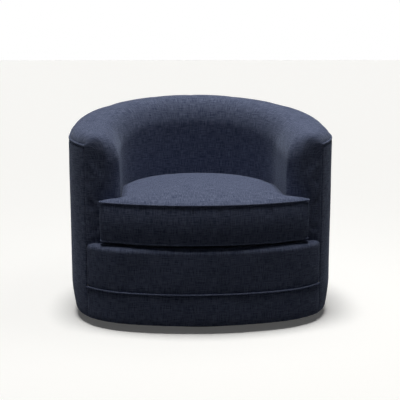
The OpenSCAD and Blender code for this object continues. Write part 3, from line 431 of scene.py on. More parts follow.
def outer_rail(part, t):
    """Point inside the top seam: part 0 is the arm's front, 1 the side and 2 the back quarter."""
    outer_arc = (corner_r - seam_inset) * (seam_turn - math.radians(3))
    if part == 0:
        return corner_point(seam_turn - math.radians(3) * t, seam_inset)
    if part == 1:
        run = t * (outer_arc + widest_y - corner_y)
        if run < outer_arc:
            return corner_point((outer_arc - run) / (corner_r - seam_inset), seam_inset)
        return np.array([back_r - seam_inset, corner_y + run - outer_arc])
    r = back_r - seam_inset
    return np.array([r * math.cos(t * math.pi / 2), widest_y + r * math.sin(t * math.pi / 2)])


def inner_rail(part, t):
    """Foot of the lining under the same station, on the arm's front or the well's wall."""
    corner_run = arm_corner_r * math.pi / 2
    if part == 0:
        turn = face_sweep * (1 - t)
        return np.array([
            corner_centre[0] + face_r * math.sin(turn), arm_face_y + face_r * (1 - math.cos(turn))
        ])
    if part == 1:
        run = (corner_run + widest_y - corner_centre[1]) * t**1.25
        if run < corner_run:
            turn = run / arm_corner_r
            return corner_centre - arm_corner_r * np.array([math.sin(turn), math.cos(turn)])
        return np.array([inner_x, corner_centre[1] + run - corner_run])
    turn = t * math.pi / 2
    return np.array([inner_x * math.cos(turn), widest_y + inner_x * math.sin(turn)])


def lining_profile(o, foot, lean, rows):
    """Points from the seam over the rim and down the inner face, evenly spaced along the cloth."""
    span = float(np.linalg.norm(foot - o))
    along = (foot - o) / max(span, 1e-6)
    top = span - 0.003 * lean
    rise_w = min(0.055, 0.45 * top)
    fall_w = min(0.070, 0.45 * top)
    rise = 0.034 * min(1, math.sqrt(top / 0.110))
    roll = 0.100 * min(1, top / 0.110)
    z0 = float(seam_z(o[1]))
    path = []
    for a in np.linspace(0, math.pi / 2, 24):
        path.append((rise_w * (1 - math.cos(a)), z0 + rise * math.sin(a)))
    for a in np.linspace(0, math.pi / 2, 40)[1:]:
        path.append((top - fall_w * (1 - math.sin(a)), z0 + rise - roll * (1 - math.cos(a))))
    path.append((span, deck_z - 0.004))
    path = np.array(path)
    step = np.concatenate([[0], np.cumsum(np.linalg.norm(np.diff(path, axis=0), axis=1))])
    first = np.linspace(0, min(0.03, step[-1] * 0.1), 5)[:-1]
    where = np.concatenate([first, np.linspace(min(0.03, step[-1] * 0.1), step[-1], rows - 4)])
    u = np.interp(where, step, path[:, 0])
    z = np.interp(where, step, path[:, 1])
    return np.column_stack([o[0] + along[0] * u, o[1] + along[1] * u, z]), where


stations = [(0, t) for t in np.linspace(0, 1, 19)[:-1] ** 1.6]
stations += [(1, t) for t in np.linspace(0, 1, 46)[:-1]]
stations += [(2, t) for t in np.linspace(0, 1, 62)]
lining_rows = 52
half, half_runs = [], []
for k, (part, t) in enumerate(stations):
    lean = min(max((k - 16) / 8, 0), 1)
    profile, where = lining_profile(outer_rail(part, t), inner_rail(part, t), lean, lining_rows)
    half.append(profile)
    half_runs.append(where)
half = np.array(half)
half_runs = np.array(half_runs)
lining = np.concatenate([half, half[-2::-1] * [-1, 1, 1]]).transpose(1, 0, 2)
runs = np.concatenate([half_runs, half_runs[-2::-1]]).T
steps = np.linalg.norm(np.diff(lining, axis=1), axis=2)
across = np.concatenate([np.zeros((lining_rows, 1)), np.cumsum(steps, axis=1)], axis=1)
inner_corner = 30
far_corner = lining.shape[1] - 1 - inner_corner
level = across[lining_rows // 3]
thread_u = level + 0 * across
thread_u[:, :inner_corner] = (level[inner_corner] + across - across[:, [inner_corner]])[:, :inner_corner]
thread_u[:, far_corner:] = (level[far_corner] + across - across[:, [far_corner]])[:, far_corner:]
lining_uv = np.stack([thread_u, runs - runs[-1]], axis=2)
down_cloth = np.gradient(lining, axis=0)
along_cloth = np.gradient(lining, axis=1)
out_of_cloth = np.cross(along_cloth, down_cloth)
out_of_cloth /= np.maximum(np.linalg.norm(out_of_cloth, axis=2, keepdims=True), 1e-9)
out_of_cloth *= np.sign(-out_of_cloth[lining_rows // 2, 8, 1])
from_seam = np.minimum(across, across[:, -1:] - across)
puff = 0.0032 * (1 - np.exp(-from_seam / 0.006)) * np.exp(-from_seam / 0.030)
puff -= 0.0022 * np.exp(-from_seam / 0.003)
below_top = np.clip((runs[:, :1] - 0.004) / 0.02, 0, 1)
over_foot = np.clip((runs[-1:, :] - runs - 0.004) / 0.03, 0, 1)
puff *= below_top * over_foot
lining = lining + out_of_cloth * puff[:, :, None]
turn_in = 0.006
turned_in = np.array([-math.cos(seam_turn), math.sin(seam_turn), 0]) * turn_in
right_edge = lining[:, :1] + turned_in
left_edge = lining[:, -1:] + turned_in * [-1, 1, 1]
lining = np.concatenate([right_edge, lining, left_edge], axis=1)
edge_uv = lining_uv[:, :1] - [turn_in, 0], lining_uv[:, -1:] + [turn_in, 0]
lining_uv = np.concatenate([edge_uv[0], lining_uv, edge_uv[1]], axis=1)
inside_cover = surface("inside_cover_fabric", lining, lining_uv, navy)


def fill_out(obj, held, cap, pressure=4.0, slack=0.012, stiffness=12.0, frames=20):
    """Lets pressure fill a sewn cover out, with its held points fixed and every move capped."""
    mesh = obj.data
    group = obj.vertex_groups.new(name="sewn")
    group.add([int(k) for k in held], 1.0, "REPLACE")
    before = np.empty(len(mesh.vertices) * 3)
    mesh.vertices.foreach_get("co", before)
    before = before.reshape(-1, 3)
    cloth = obj.modifiers.new("filling", "CLOTH")
    s = cloth.settings
    s.quality = 6
    s.mass = 0.35
    s.tension_stiffness = stiffness
    s.compression_stiffness = stiffness
    s.shear_stiffness = stiffness * 0.5
    s.bending_stiffness = 1.2
    s.vertex_group_mass = "sewn"
    s.use_pressure = True
    s.uniform_pressure_force = pressure
    s.shrink_min = -slack
    s.shrink_max = -slack
    s.effector_weights.gravity = 0.0
    cloth.point_cache.frame_start = 1
    cloth.point_cache.frame_end = frames
    for f in range(1, frames + 1):
        scene.frame_set(f)
    shape = obj.evaluated_get(bpy.context.evaluated_depsgraph_get()).to_mesh()
    after = np.empty(len(mesh.vertices) * 3)
    shape.vertices.foreach_get("co", after)
    move = after.reshape(-1, 3) - before
    size = np.linalg.norm(move, axis=1, keepdims=True)
    move *= cap * np.tanh(size / cap) / np.maximum(size, 1e-9)
    normals = np.empty(len(mesh.vertices) * 3)
    mesh.vertices.foreach_get("normal", normals)
    normals = normals.reshape(-1, 3)
    lift = (move * normals).sum(axis=1, keepdims=True)
    move += normals * (np.maximum(lift, -0.0004) - lift)
    obj.modifiers.remove(cloth)
    mesh.vertices.foreach_set("co", (before + move).reshape(-1))
    mesh.update()
    obj.vertex_groups.clear()
    scene.frame_set(1)


rows, cols = lining.shape[:2]
grid = np.arange(rows * cols).reshape(rows, cols)
sewn = [grid[:2], grid[-3:], grid[:, :2], grid[:, -2:]]
sewn = np.unique(np.concatenate([part.reshape(-1) for part in sewn]))
fill_out(inside_cover, sewn, cap=0.0024, pressure=3.5)
subdivide(inside_cover)
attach(inside_cover, "chair")
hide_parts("inside_cover")


# Front panel. Padded cloth over the front rail, turned over a soft shoulder and sewn to the deck
# cloth behind it. Below it, past a thin welt, the bottom band runs down to the hem.
def front_plan(run, inset):
    """Point of the front at a run from its middle, positive to the right."""
    s = abs(run)
    arc = front_r * (math.pi / 2 - corner_turn)
    if s < arc:
        t = s / front_r
        p = [(front_r - inset) * math.sin(t), front_cy - (front_r - inset) * math.cos(t)]
    else:
        p = corner_point(corner_turn - (s - arc) / corner_r, inset)
    return np.array([math.copysign(p[0], run), p[1]])


front_half = front_r * (math.pi / 2 - corner_turn) + corner_r * (corner_turn - seam_turn)
front_welt_z = 0.126
shoulder_r = 0.018


def front_columns(margin):
    end = front_half - margin
    side = [end - 0.0001, end - 0.0008, end - 0.003, end - 0.007, end - 0.013, end - 0.022]
    middle_part = np.linspace(-(end - 0.032), end - 0.032, 120)
    return np.concatenate([[-s for s in side], middle_part, side[::-1]])


def front_panel_grid(low, high, shoulder, seed, puff):
    columns = front_columns(0.0004)
    end = abs(columns[0])
    levels = list(np.linspace(low, high - (shoulder_r if shoulder else 0), 26 if shoulder else 20))
    points, uv = [], []
    run_v = 0.0
    last = None
    if shoulder:
        profile = [(0.0030, low - 0.0012), (0.0022, low - 0.0006)]
    else:
        profile = [(hem_return, low + 0.0001), (0.0100, low - 0.0002)]
        profile += [(0.0040, low - 0.0006), (0.0024, low - 0.0003)]
    bulges = [0.0] * len(profile)
    for z in levels:
        t = (z - low) / (levels[-1] - low)
        if shoulder:
            bulge = puff * math.sin(math.pi * t / 1.6) ** 0.8
        else:
            bulge = puff * math.sin(math.pi * min(t, 1)) ** 0.7
        edge = 0.0022 * math.exp(-(z - low) / 0.004)
        profile.append((edge - bulge, z))
        bulges.append(bulge)
    if shoulder:
        r = shoulder_r
        for a in np.linspace(0, math.pi / 2, 12)[1:]:
            profile.append((r - r * math.cos(a) - puff * math.cos(a) * 0.9, high - r + r * math.sin(a)))
            bulges.append(puff * math.cos(a) * 0.9)
        for lap in (0.026, 0.034, 0.044, 0.054, 0.060):
            profile.append((lap, high))
            bulges.append(0.0)
    else:
        bulges += [0.0, 0.0]
        profile += [(0.0022, high + 0.0003), (0.0036, high + 0.0014)]
    for k, (inset, z) in enumerate(profile):
        row, flat = [], []
        if last is not None:
            run_v += math.hypot(inset - last[0], z - last[1])
        last = (inset, z)
        for run in columns:
            side = end - abs(run)
            soft = min(1, side / 0.10)
            near = math.exp(-side / 0.0035)
            wave = 0.0012 * soft * float(smooth_noise(run + 5, z, seed)) if k > 2 else 0
            pull = 0.0006 * math.sin(run * 190 + 2 * math.sin(run * 31))
            pull *= math.exp(-abs(z - low) / 0.016)
            flat_side = bulges[k] * math.exp(-side / 0.02)
            inward = inset + near * 0.0020 - wave - (pull if k > 1 else 0) + flat_side
            if side < 0.0006:
                inward = max(inward, 0) + 0.013
            p = front_plan(run, max(inward, -0.006))
            row.append([p[0], p[1], z])
            flat.append([run, run_v])
        points.append(row)
        uv.append(flat)
    return np.array(points), np.array(uv)


points, uv = front_panel_grid(front_welt_z + 0.0034, deck_z, True, 11, 0.0015)
front_cover = surface("front_panel_fabric", points, uv, navy)
subdivide(front_cover)
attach(front_cover, "chair")
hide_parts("front_cover")

points, uv = front_panel_grid(hem_z, front_welt_z - 0.0034, False, 17, 0.0012)
bottom_band = surface("bottom_band_fabric", points, uv, navy)
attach(bottom_band, "chair")
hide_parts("bottom_band")


# Welts. Cord covered in the same cloth, cut on the bias and sewn into the seam, so its threads
# run across it at an angle.
def welt(name, path, radius, loop=False, sides=12, squash=1.0):
    """Covered cord along a path, with small ripples where the cloth is gathered round it."""
    path = np.array(path)
    n = len(path)
    ahead = np.roll(path, -1, axis=0) if loop else np.vstack([path[1:], path[-1]])
    behind = np.roll(path, 1, axis=0) if loop else np.vstack([path[0], path[:-1]])
    along = ahead - behind
    along /= np.linalg.norm(along, axis=1, keepdims=True)
    side = np.cross(along, [0, 0, 1])
    side /= np.linalg.norm(side, axis=1, keepdims=True)
    up = np.cross(side, along)
    steps = np.linalg.norm(np.diff(np.vstack([path, path[:1]]), axis=0), axis=1)
    run = np.concatenate([[0], np.cumsum(steps)])
    rng = np.random.default_rng(len(name))
    ripple = 1 + 0.035 * np.sin(run[:n] * 420 + 2 * np.sin(run[:n] * 53)) + rng.normal(0, 0.012, n)
    points = []
    for k in range(sides):
        a = -2 * math.pi * k / sides
        ring = path + (side * math.cos(a) * squash + up * math.sin(a)) * radius * ripple[:, None]
        points.append(ring)
    points = np.array(points)
    points = np.concatenate([points, points[:1]])
    cols_uv = n + 1 if loop else n
    bias = radius * 2 * math.pi * np.arange(sides + 1)[:, None] / sides
    along_run = run[None, :cols_uv]
    uv = np.stack([along_run * 0.7 + bias * 0.7, bias * 0.7 - along_run * 0.7], axis=2)
    obj = surface(name, points, uv, navy, loop)
    obj.data.validate()
    return obj


def seam_path(inset, lift, count=420):
    path = []
    for run in np.linspace(0.0, cover_run, count):
        p = outer_plan(run, inset)
        path.append([p[0], p[1], float(seam_z(p[1])) + lift])
    return path


top_welt = welt("top_welt_cord", seam_path(0.0026, 0.0), 0.0043, squash=0.7)
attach(top_welt, "chair")
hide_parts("top_welt")

front_path = []
for run in np.linspace(-(front_half - 0.001), front_half - 0.001, 260):
    p = front_plan(run, 0.0002)
    front_path.append([p[0], p[1], front_welt_z])
front_welt = welt("front_welt_cord", front_path, 0.003)
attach(front_welt, "chair")
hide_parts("front_welt")


# Seat cushion. A loose T cushion: top and bottom panels and a boxing sewn together over a foam
# core with a fibre wrap, with piping in both seams. The seams are held while the filling pushes
# the panels out.
cushion_low_z = 0.2853
cushion_top_z = 0.4093
boxing_height = cushion_top_z - cushion_low_z
cushion_half_w = 0.262
wing_x = 0.331
wing_y = widest_y - 0.288
cushion_front_y = widest_y - 0.373
wing_back_y = arm_face_y - 0.007
cushion_sag = wing_y - cushion_front_y
cushion_front_r = (wing_x**2 + cushion_sag**2) / (2 * cushion_sag)


def cushion_outline(step):
    """Closed outline of the seams, anticlockwise from the middle of the front."""
    turn = math.asin(wing_x / cushion_front_r) * 0.985
    right = [
        [cushion_front_r * math.sin(t), cushion_front_y + cushion_front_r * (1 - math.cos(t))]
        for t in np.linspace(0, turn, 40)
    ]
    for a in np.linspace(-0.9, 0.35, 7):
        right.append([wing_x - 0.007 + 0.007 * math.cos(a), wing_y + 0.004 + 0.007 * math.sin(a)])
    for a in np.linspace(0.1, math.pi / 2, 6):
        right.append([wing_x - 0.006 + 0.006 * math.cos(a), wing_back_y - 0.006 + 0.006 * math.sin(a)])
    fillet = arm_corner_r + 0.007
    for a in np.linspace(0, math.pi / 2, 14):
        right.append([corner_centre[0] - fillet * math.sin(a), corner_centre[1] - fillet * math.cos(a)])
    for y in np.linspace(corner_centre[1], widest_y, 20)[1:]:
        right.append([cushion_half_w, y])
    for a in np.linspace(0, math.pi / 2, 50)[1:]:
        right.append([cushion_half_w * math.cos(a), widest_y + cushion_half_w * math.sin(a)])
    right = np.array(right)
    full = np.concatenate([right, right[-2:0:-1] * [-1, 1]])
    closed = np.vstack([full, full[:1]])
    run = np.concatenate([[0], np.cumsum(np.linalg.norm(np.diff(closed, axis=0), axis=1))])
    count = int(round(run[-1] / step))
    where = np.arange(count) * run[-1] / count
    even = [np.interp(where, run, closed[:, axis]) for axis in (0, 1)]
    return np.column_stack(even), run[-1]


outline, outline_run = cushion_outline(0.007)
ring_count = len(outline)


def seam_distance(p):
    """Distance in plan from points to the cushion's seam."""
    a = outline[None]
    b = np.roll(outline, -1, axis=0)[None]
    p = p[:, None]
    t = np.clip(((p - a) * (b - a)).sum(2) / ((b - a) ** 2).sum(2), 0, 1)
    return np.linalg.norm(p - a - (b - a) * t[..., None], axis=2).min(1)


def inside(p):
    a = outline[None]
    b = np.roll(outline, -1, axis=0)[None]
    p = p[:, None]
    cross = (a[..., 1] > p[..., 1]) != (b[..., 1] > p[..., 1])
    gap = np.where(np.abs(b[..., 1] - a[..., 1]) < 1e-9, 1e-9, b[..., 1] - a[..., 1])
    at = a[..., 0] + (p[..., 1] - a[..., 1]) / gap * (b[..., 0] - a[..., 0])
    return (cross & (p[..., 0] < at)).sum(1) % 2 == 1


spacing = 0.0085
cells = []
for j, y in enumerate(np.arange(-0.42, 0.24, spacing * 0.866)):
    for x in np.arange(-0.34, 0.341, spacing):
        cells.append([x + (spacing / 2 if j % 2 else 0), y])
cells = np.array(cells)
cells = cells[inside(cells)]
cell_gap = seam_distance(cells)
cells = cells[cell_gap > 0.0045]
cell_gap = cell_gap[cell_gap > 0.0045]
plan = [Vector(p) for p in outline] + [Vector(p) for p in cells]
edges = [(k, (k + 1) % ring_count) for k in range(ring_count)]
flat_points, _, flat_faces, _, _, _ = delaunay_2d_cdt(plan, edges, [], 1, 1e-6)
panel_faces = [list(f) for f in flat_faces]
crown = 0.030 * (1 - 0.25 * np.exp(-cell_gap / 0.012) - 0.75 * np.exp(-cell_gap / 0.090))
cad_top = nodes["cushion_core"]
bpy.context.view_layer.update()
to_cad = cad_top.matrix_world.inverted()
down = to_cad.to_3x3() @ Vector((0, 0, -1))
for k, p in enumerate(cells):
    hit, place, _, _ = cad_top.ray_cast(to_cad @ Vector((p[0], p[1], 0.8)), down)
    if hit:
        over_core = (cad_top.matrix_world @ place).z + 0.0030 - cushion_top_z
        crown[k] = max(crown[k], over_core)
belly = 0.013 * (1 - np.exp(-cell_gap / 0.030))
boxing_shares = [0, 0.012, 0.03, 0.06, 0.12, 0.22, 0.36, 0.5, 0.64, 0.78, 0.88, 0.94, 0.97, 0.988, 1]
boxing_levels = len(boxing_shares)
ahead = np.roll(outline, -1, axis=0) - np.roll(outline, 1, axis=0)
ahead /= np.linalg.norm(ahead, axis=1, keepdims=True)
outward = np.column_stack([ahead[:, 1], -ahead[:, 0]])
back_turn = np.degrees(np.arctan2(np.abs(outline[:, 0]), outline[:, 1] - widest_y))
behind = np.clip((76 - back_turn) / 10, 0, 1)[:, None]
in_front = np.clip((-0.305 - outline[:, 1]) / 0.02, 0, 1)[:, None]
verts = []
for t in boxing_shares:
    groove = 0.0014 * (math.exp(-((t - 0.03) / 0.03) ** 2) + math.exp(-((t - 0.97) / 0.03) ** 2))
    swell = math.sin(math.pi * t) * ((0.0012 + 0.0028 * in_front) * (1 - behind) - 0.0024 * behind)
    ring = outline + outward * (swell - groove)
    verts.append(np.column_stack([ring, np.full(ring_count, cushion_low_z + t * boxing_height)]))
ring_total = boxing_levels * ring_count
verts.append(np.column_stack([cells, cushion_top_z + crown]))
verts.append(np.column_stack([cells, cushion_low_z - belly]))
verts = np.concatenate(verts)
faces, face_uv = [], []
for k in range(boxing_levels - 1):
    for c in range(ring_count):
        d = (c + 1) % ring_count
        lower, upper = k * ring_count, (k + 1) * ring_count
        faces.append([lower + c, lower + d, upper + d, upper + c])
        u0, u1 = c * outline_run / ring_count, (c + 1) * outline_run / ring_count
        v0, v1 = boxing_height * boxing_shares[k], boxing_height * boxing_shares[k + 1]
        face_uv.append([(u0, v0), (u1, v0), (u1, v1), (u0, v1)])
top_start = (boxing_levels - 1) * ring_count
for f in panel_faces:
    a, b, c = (np.array(flat_points[k]) for k in f[:3])
    if (b[0] - a[0]) * (c[1] - a[1]) - (b[1] - a[1]) * (c[0] - a[0]) < 0:
        f = f[::-1]
    flat = [tuple(flat_points[k]) for k in f]
    faces.append([top_start + k if k < ring_count else ring_total + k - ring_count for k in f])
    face_uv.append(flat)
    low = [k if k < ring_count else ring_total + len(cells) + k - ring_count for k in f][::-1]
    faces.append(low)
    face_uv.append(flat[::-1])
mesh = bpy.data.meshes.new("cushion_cover")
mesh.from_pydata(verts.tolist(), [], faces)
layer = mesh.uv_layers.new(name="threads")
layer.data.foreach_set("uv", np.array([c for f in face_uv for c in f], dtype=np.float32).reshape(-1))
mesh.materials.append(navy)
mesh.shade_smooth()
cushion = bpy.data.objects.new("cushion_cover", mesh)
scene.collection.objects.link(cushion)
seams = np.concatenate([np.arange(ring_count), top_start + np.arange(ring_count)])
zipped = np.flatnonzero(behind[:, 0] > 0)
held = np.unique(np.concatenate([seams, *(k * ring_count + zipped for k in range(boxing_levels))]))
fill_out(cushion, held, cap=0.004, pressure=2.0)
crease = mesh.attributes.new("crease_edge", "FLOAT", "EDGE")
rings = set(seams.tolist())
for edge in mesh.edges:
    a, b = edge.vertices
    if a in rings and b in rings and (a < ring_count) == (b < ring_count):
        crease.data[edge.index].value = 0.7
subdivide(cushion)
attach(cushion, "cushion")
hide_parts("cushion_top_panel", "cushion_boxing", "cushion_bottom_panel")

for name, height, out, radius, node in (
    ("upper_piping", cushion_top_z, 0.0021, 0.0025, "cushion_piping_top"),
    ("lower_piping", cushion_low_z, 0.0008, 0.0021, "cushion_piping_bottom"),
):
    piping_line = np.column_stack([outline + outward * out, np.full(ring_count, height)])
    piping = welt(name, piping_line, radius, loop=True)
    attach(piping, "cushion")
    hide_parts(node)


# Deck cloth. Plain cloth of the same colour under the loose cushion, sewn to the front panel.
def cad_paint(node, mat):
    mesh = nodes[node].data
    mesh.materials.clear()
    mesh.materials.append(mat)


def speckled(name, dark, light, rough, scale, metal=0.0, bump=0.2, stretch=(1, 1, 1)):
    """Material with a fine grain read from the piece's own coordinates."""
    mat, tree, bsdf = shader(name)
    where = tree.nodes.new("ShaderNodeTexCoord").outputs["Object"]
    grain = noise(tree, stretched(tree, where, stretch), scale, 4.0, 0.6)
    ramp = math_node(tree, "MULTIPLY", math_node(tree, "SUBTRACT", grain, 0.32), 2.6, clamp=True)
    tree.links.new(mix_color(tree, ramp, dark, light), bsdf.inputs["Base Color"])
    rough_node = math_node(tree, "ADD", math_node(tree, "MULTIPLY", grain, 0.16), rough - 0.08)
    tree.links.new(rough_node, bsdf.inputs["Roughness"])
    bsdf.inputs["Metallic"].default_value = metal
    relief = tree.nodes.new("ShaderNodeBump")
    relief.inputs["Strength"].default_value = bump
    relief.inputs["Distance"].default_value = 0.0006
    tree.links.new(grain, relief.inputs["Height"])
    tree.links.new(relief.outputs[0], bsdf.inputs["Normal"])
    return mat


lining_cloth = speckled("deck cloth", (0.012, 0.015, 0.022), (0.03, 0.036, 0.048), 0.9, 900.0, bump=0.4)
cad_paint("deck_cloth", lining_cloth)


# Base. Fibreboard ring and board painted black, on nylon glides, carrying a steel turntable with
# a ball race, its cage, a king bolt, and bolts into the cross rails.
black = speckled("black paint", (0.006, 0.006, 0.007), (0.014, 0.014, 0.016), 0.5, 260.0, bump=0.15)
nylon = speckled("nylon", (0.55, 0.55, 0.53), (0.66, 0.66, 0.64), 0.45, 120.0, bump=0.05)
zinc = speckled("zinc-plated steel", (0.42, 0.43, 0.45), (0.62, 0.63, 0.65), 0.35, 150.0, 1.0, 0.08)
polished = speckled("polished steel", (0.60, 0.60, 0.61), (0.72, 0.72, 0.73), 0.15, 60.0, 1.0, 0.02)
for node in ("plinth_ring", "base_board"):
    cad_paint(node, black)
cad_paint("floor_glides", nylon)
for node in ("lower_plate", "upper_plate", "ball_cage", "king_bolt", "king_nut", "king_washer",
             "lower_plate_screws", "plate_bolts"):
    cad_paint(node, zinc)
cad_paint("bearing_balls", polished)


# Timber frame. Plywood bottom frame, front rail, seat ring, top rails and arm boards, with solid
# posts, cross rails and corner blocks, left bare under the upholstery.
plies = (0.06, 0.06, 0.0016)
grain_lines = (0.004, 0.09, 0.09)
plywood = speckled("plywood", (0.36, 0.23, 0.12), (0.60, 0.43, 0.25), 0.7, 1.0, stretch=plies)
beech = speckled("solid timber", (0.42, 0.27, 0.14), (0.62, 0.44, 0.26), 0.65, 1.0, stretch=grain_lines)
for node in ("bottom_frame", "front_rail", "seat_ring", "arm_rail_left", "arm_rail_right", "back_rail",
             "arm_front_boards"):
    cad_paint(node, plywood)
for node in ("cross_rails", "frame_posts", "corner_blocks"):
    cad_paint(node, beech)


# Fillings and linings: fibreboard panels, foam, the felt over the springs and the cushion core.
fibreboard = speckled("fibreboard", (0.26, 0.18, 0.11), (0.40, 0.30, 0.19), 0.85, 400.0, bump=0.3)
foam = speckled("foam", (0.70, 0.62, 0.38), (0.86, 0.80, 0.56), 0.9, 700.0, bump=0.6)
felt = speckled("grey felt", (0.16, 0.15, 0.14), (0.34, 0.32, 0.30), 0.95, 350.0, bump=0.5)
for node in ("outer_board", "inner_board"):
    cad_paint(node, fibreboard)
for node in ("back_foam", "arm_foam_left", "arm_foam_right", "front_pad", "deck_pad", "cushion_core"):
    cad_paint(node, foam)
cad_paint("spring_cover", felt)


# Springs. Sinuous spring wire in zinc-plated clips across the seat.
spring_steel = speckled("spring wire", (0.16, 0.15, 0.14), (0.30, 0.29, 0.28), 0.4, 200.0, 0.9)
cad_paint("sinuous_springs", spring_steel)
cad_paint("spring_clips", zinc)


# Dust cover. Black non-woven sheet stapled under the bottom frame round the base.
sheet_dark, sheet_light = (0.010, 0.010, 0.011), (0.028, 0.028, 0.030)
nonwoven = speckled("black non-woven", sheet_dark, sheet_light, 0.95, 500.0, bump=0.5)
cad_paint("dust_cover", nonwoven)


# Staples. Flat wire staples shot through the dust cover into the bottom frame, one about every
# 48 mm along its outer edge and beside its round opening, none of them quite straight.
def box_mesh(name, size):
    """Plain box around its own origin."""
    x, y, z = (v / 2 for v in size)
    corners = [(i, j, k) for i in (-x, x) for j in (-y, y) for k in (-z, z)]
    quads = [(0, 1, 3, 2), (4, 6, 7, 5), (0, 4, 5, 1), (2, 3, 7, 6), (0, 2, 6, 4), (1, 5, 7, 3)]
    mesh = bpy.data.meshes.new(name)
    mesh.from_pydata(corners, [], quads)
    return mesh


def path_tree(name):
    """Node tree that sets a part on a path at even steps, turned along it and a little at random."""
    tree = bpy.data.node_groups.new(name, "GeometryNodeTree")
    face = tree.interface
    face.new_socket("Path", in_out="INPUT", socket_type="NodeSocketGeometry")
    face.new_socket("Part", in_out="INPUT", socket_type="NodeSocketObject")
    step = face.new_socket("Step", in_out="INPUT", socket_type="NodeSocketFloat")
    skew = face.new_socket("Skew", in_out="INPUT", socket_type="NodeSocketFloat")
    step.default_value = 0.05
    skew.default_value = 0.0
    face.new_socket("Material", in_out="INPUT", socket_type="NodeSocketMaterial")
    face.new_socket("Parts", in_out="OUTPUT", socket_type="NodeSocketGeometry")
    ins = tree.nodes.new("NodeGroupInput")
    outs = tree.nodes.new("NodeGroupOutput")
    curve = tree.nodes.new("GeometryNodeMeshToCurve")
    points = tree.nodes.new("GeometryNodeCurveToPoints")
    points.mode = "LENGTH"
    part = tree.nodes.new("GeometryNodeObjectInfo")
    place = tree.nodes.new("GeometryNodeInstanceOnPoints")
    low = tree.nodes.new("ShaderNodeMath")
    low.operation = "MULTIPLY"
    low.inputs[1].default_value = -1.0
    wobble = tree.nodes.new("FunctionNodeRandomValue")
    wobble.data_type = "FLOAT"
    wobble.inputs["Seed"].default_value = 5
    turn = tree.nodes.new("ShaderNodeCombineXYZ")
    spin = tree.nodes.new("GeometryNodeRotateInstances")
    real = tree.nodes.new("GeometryNodeRealizeInstances")
    paint = tree.nodes.new("GeometryNodeSetMaterial")
    link = tree.links.new
    link(ins.outputs["Path"], curve.inputs["Mesh"])
    link(curve.outputs["Curve"], points.inputs["Curve"])
    link(ins.outputs["Step"], points.inputs["Length"])
    link(points.outputs["Points"], place.inputs["Points"])
    link(points.outputs["Rotation"], place.inputs["Rotation"])
    link(ins.outputs["Part"], part.inputs["Object"])
    link(part.outputs["Geometry"], place.inputs["Instance"])
    link(ins.outputs["Skew"], low.inputs[0])
    link(low.outputs[0], wobble.inputs[2])
    link(ins.outputs["Skew"], wobble.inputs[3])
    link(wobble.outputs[1], turn.inputs["Z"])
    link(place.outputs["Instances"], spin.inputs["Instances"])
    link(turn.outputs[0], spin.inputs["Rotation"])
    link(spin.outputs["Instances"], real.inputs["Geometry"])
    link(real.outputs["Geometry"], paint.inputs["Geometry"])
    link(ins.outputs["Material"], paint.inputs["Material"])
    link(paint.outputs["Geometry"], outs.inputs["Parts"])
    return tree


along_path = path_tree("parts along a path")


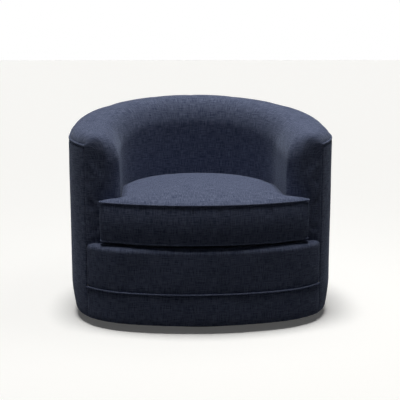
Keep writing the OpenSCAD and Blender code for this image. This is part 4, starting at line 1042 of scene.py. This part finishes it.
def set_along(name, paths, part, step, mat, skew=0.0):
    """Plain mesh of a small part repeated along closed or open paths, through the node tree."""
    points, edges = [], []
    for path, loop in paths:
        first = len(points)
        points.extend(tuple(float(v) for v in p) for p in path)
        edges.extend((first + k, first + k + 1) for k in range(len(path) - 1))
        if loop:
            edges.append((first + len(path) - 1, first))
    line_mesh = bpy.data.meshes.new(name + "_path")
    line_mesh.from_pydata(points, edges, [])
    line = bpy.data.objects.new(name, line_mesh)
    scene.collection.objects.link(line)
    shape = bpy.data.objects.new(name + "_part", part)
    scene.collection.objects.link(shape)
    mod = line.modifiers.new("along", "NODES")
    mod.node_group = along_path
    values = {"Part": shape, "Step": step, "Skew": skew, "Material": mat}
    for item in along_path.interface.items_tree:
        if item.in_out == "INPUT" and item.name in values:
            mod[item.identifier] = values[item.name]
    bpy.context.view_layer.update()
    ready = line.evaluated_get(bpy.context.evaluated_depsgraph_get())
    mesh = bpy.data.meshes.new_from_object(ready)
    line.modifiers.clear()
    line.data = mesh
    bpy.data.objects.remove(shape)
    return line


staple_z = 0.0250
staple_inset = 0.0275
opening_r = 0.371
front_run = front_half - 0.02
around = np.linspace(0, 2 * math.pi, 240, endpoint=False)
outer_line = [[*outer_plan(run, staple_inset), staple_z] for run in np.linspace(0.0, cover_run, 300)]
front_line = [[*front_plan(run, staple_inset), staple_z] for run in np.linspace(-front_run, front_run, 90)]
opening_line = [[opening_r * math.cos(a), opening_r * math.sin(a), staple_z] for a in around]
staple_lines = [(outer_line, False), (front_line, False), (opening_line, True)]
staple = box_mesh("staple", (0.0008, 0.0011, 0.010))
staples = set_along("dust_cover_staples", staple_lines, staple, 0.048, zinc, skew=0.25)
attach(staples, "chair")


# Zipper. Black tape behind the cushion with a steel slider and pull. The coil of small teeth
# stands just over the tape's middle line, and two rows of stitches hold the tape to the boxing.
tape = speckled("zipper tape", (0.010, 0.011, 0.014), (0.024, 0.026, 0.032), 0.85, 600.0, bump=0.4)
thread = speckled("zipper thread", (0.020, 0.026, 0.042), (0.045, 0.056, 0.085), 0.7, 900.0)
coil = speckled("black nylon", (0.012, 0.012, 0.014), (0.030, 0.030, 0.034), 0.35, 400.0, bump=0.05)
cad_paint("zipper_tape", tape)
cad_paint("zipper_slider", zinc)


def tape_line(radius, z, half_turn=61.0, count=260):
    turns = np.radians(np.linspace(90 - half_turn, 90 + half_turn, count))
    return [[radius * math.cos(t), widest_y + radius * math.sin(t), z] for t in turns]


zipper_z = (cushion_low_z + cushion_top_z) / 2
stitch_gap = 0.0115
tooth = box_mesh("tooth", (0.0003, 0.0052, 0.0009))
teeth = set_along("zipper_teeth", [(tape_line(0.26146, zipper_z), False)], tooth, 0.0016, coil)
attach(teeth, "cushion")
stitch = box_mesh("stitch", (0.0002, 0.0006, 0.0024))
rows = [(tape_line(0.26150, zipper_z + side * stitch_gap), False) for side in (-1, 1)]
stitches = set_along("zipper_stitches", rows, stitch, 0.0034, thread)
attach(stitches, "cushion")
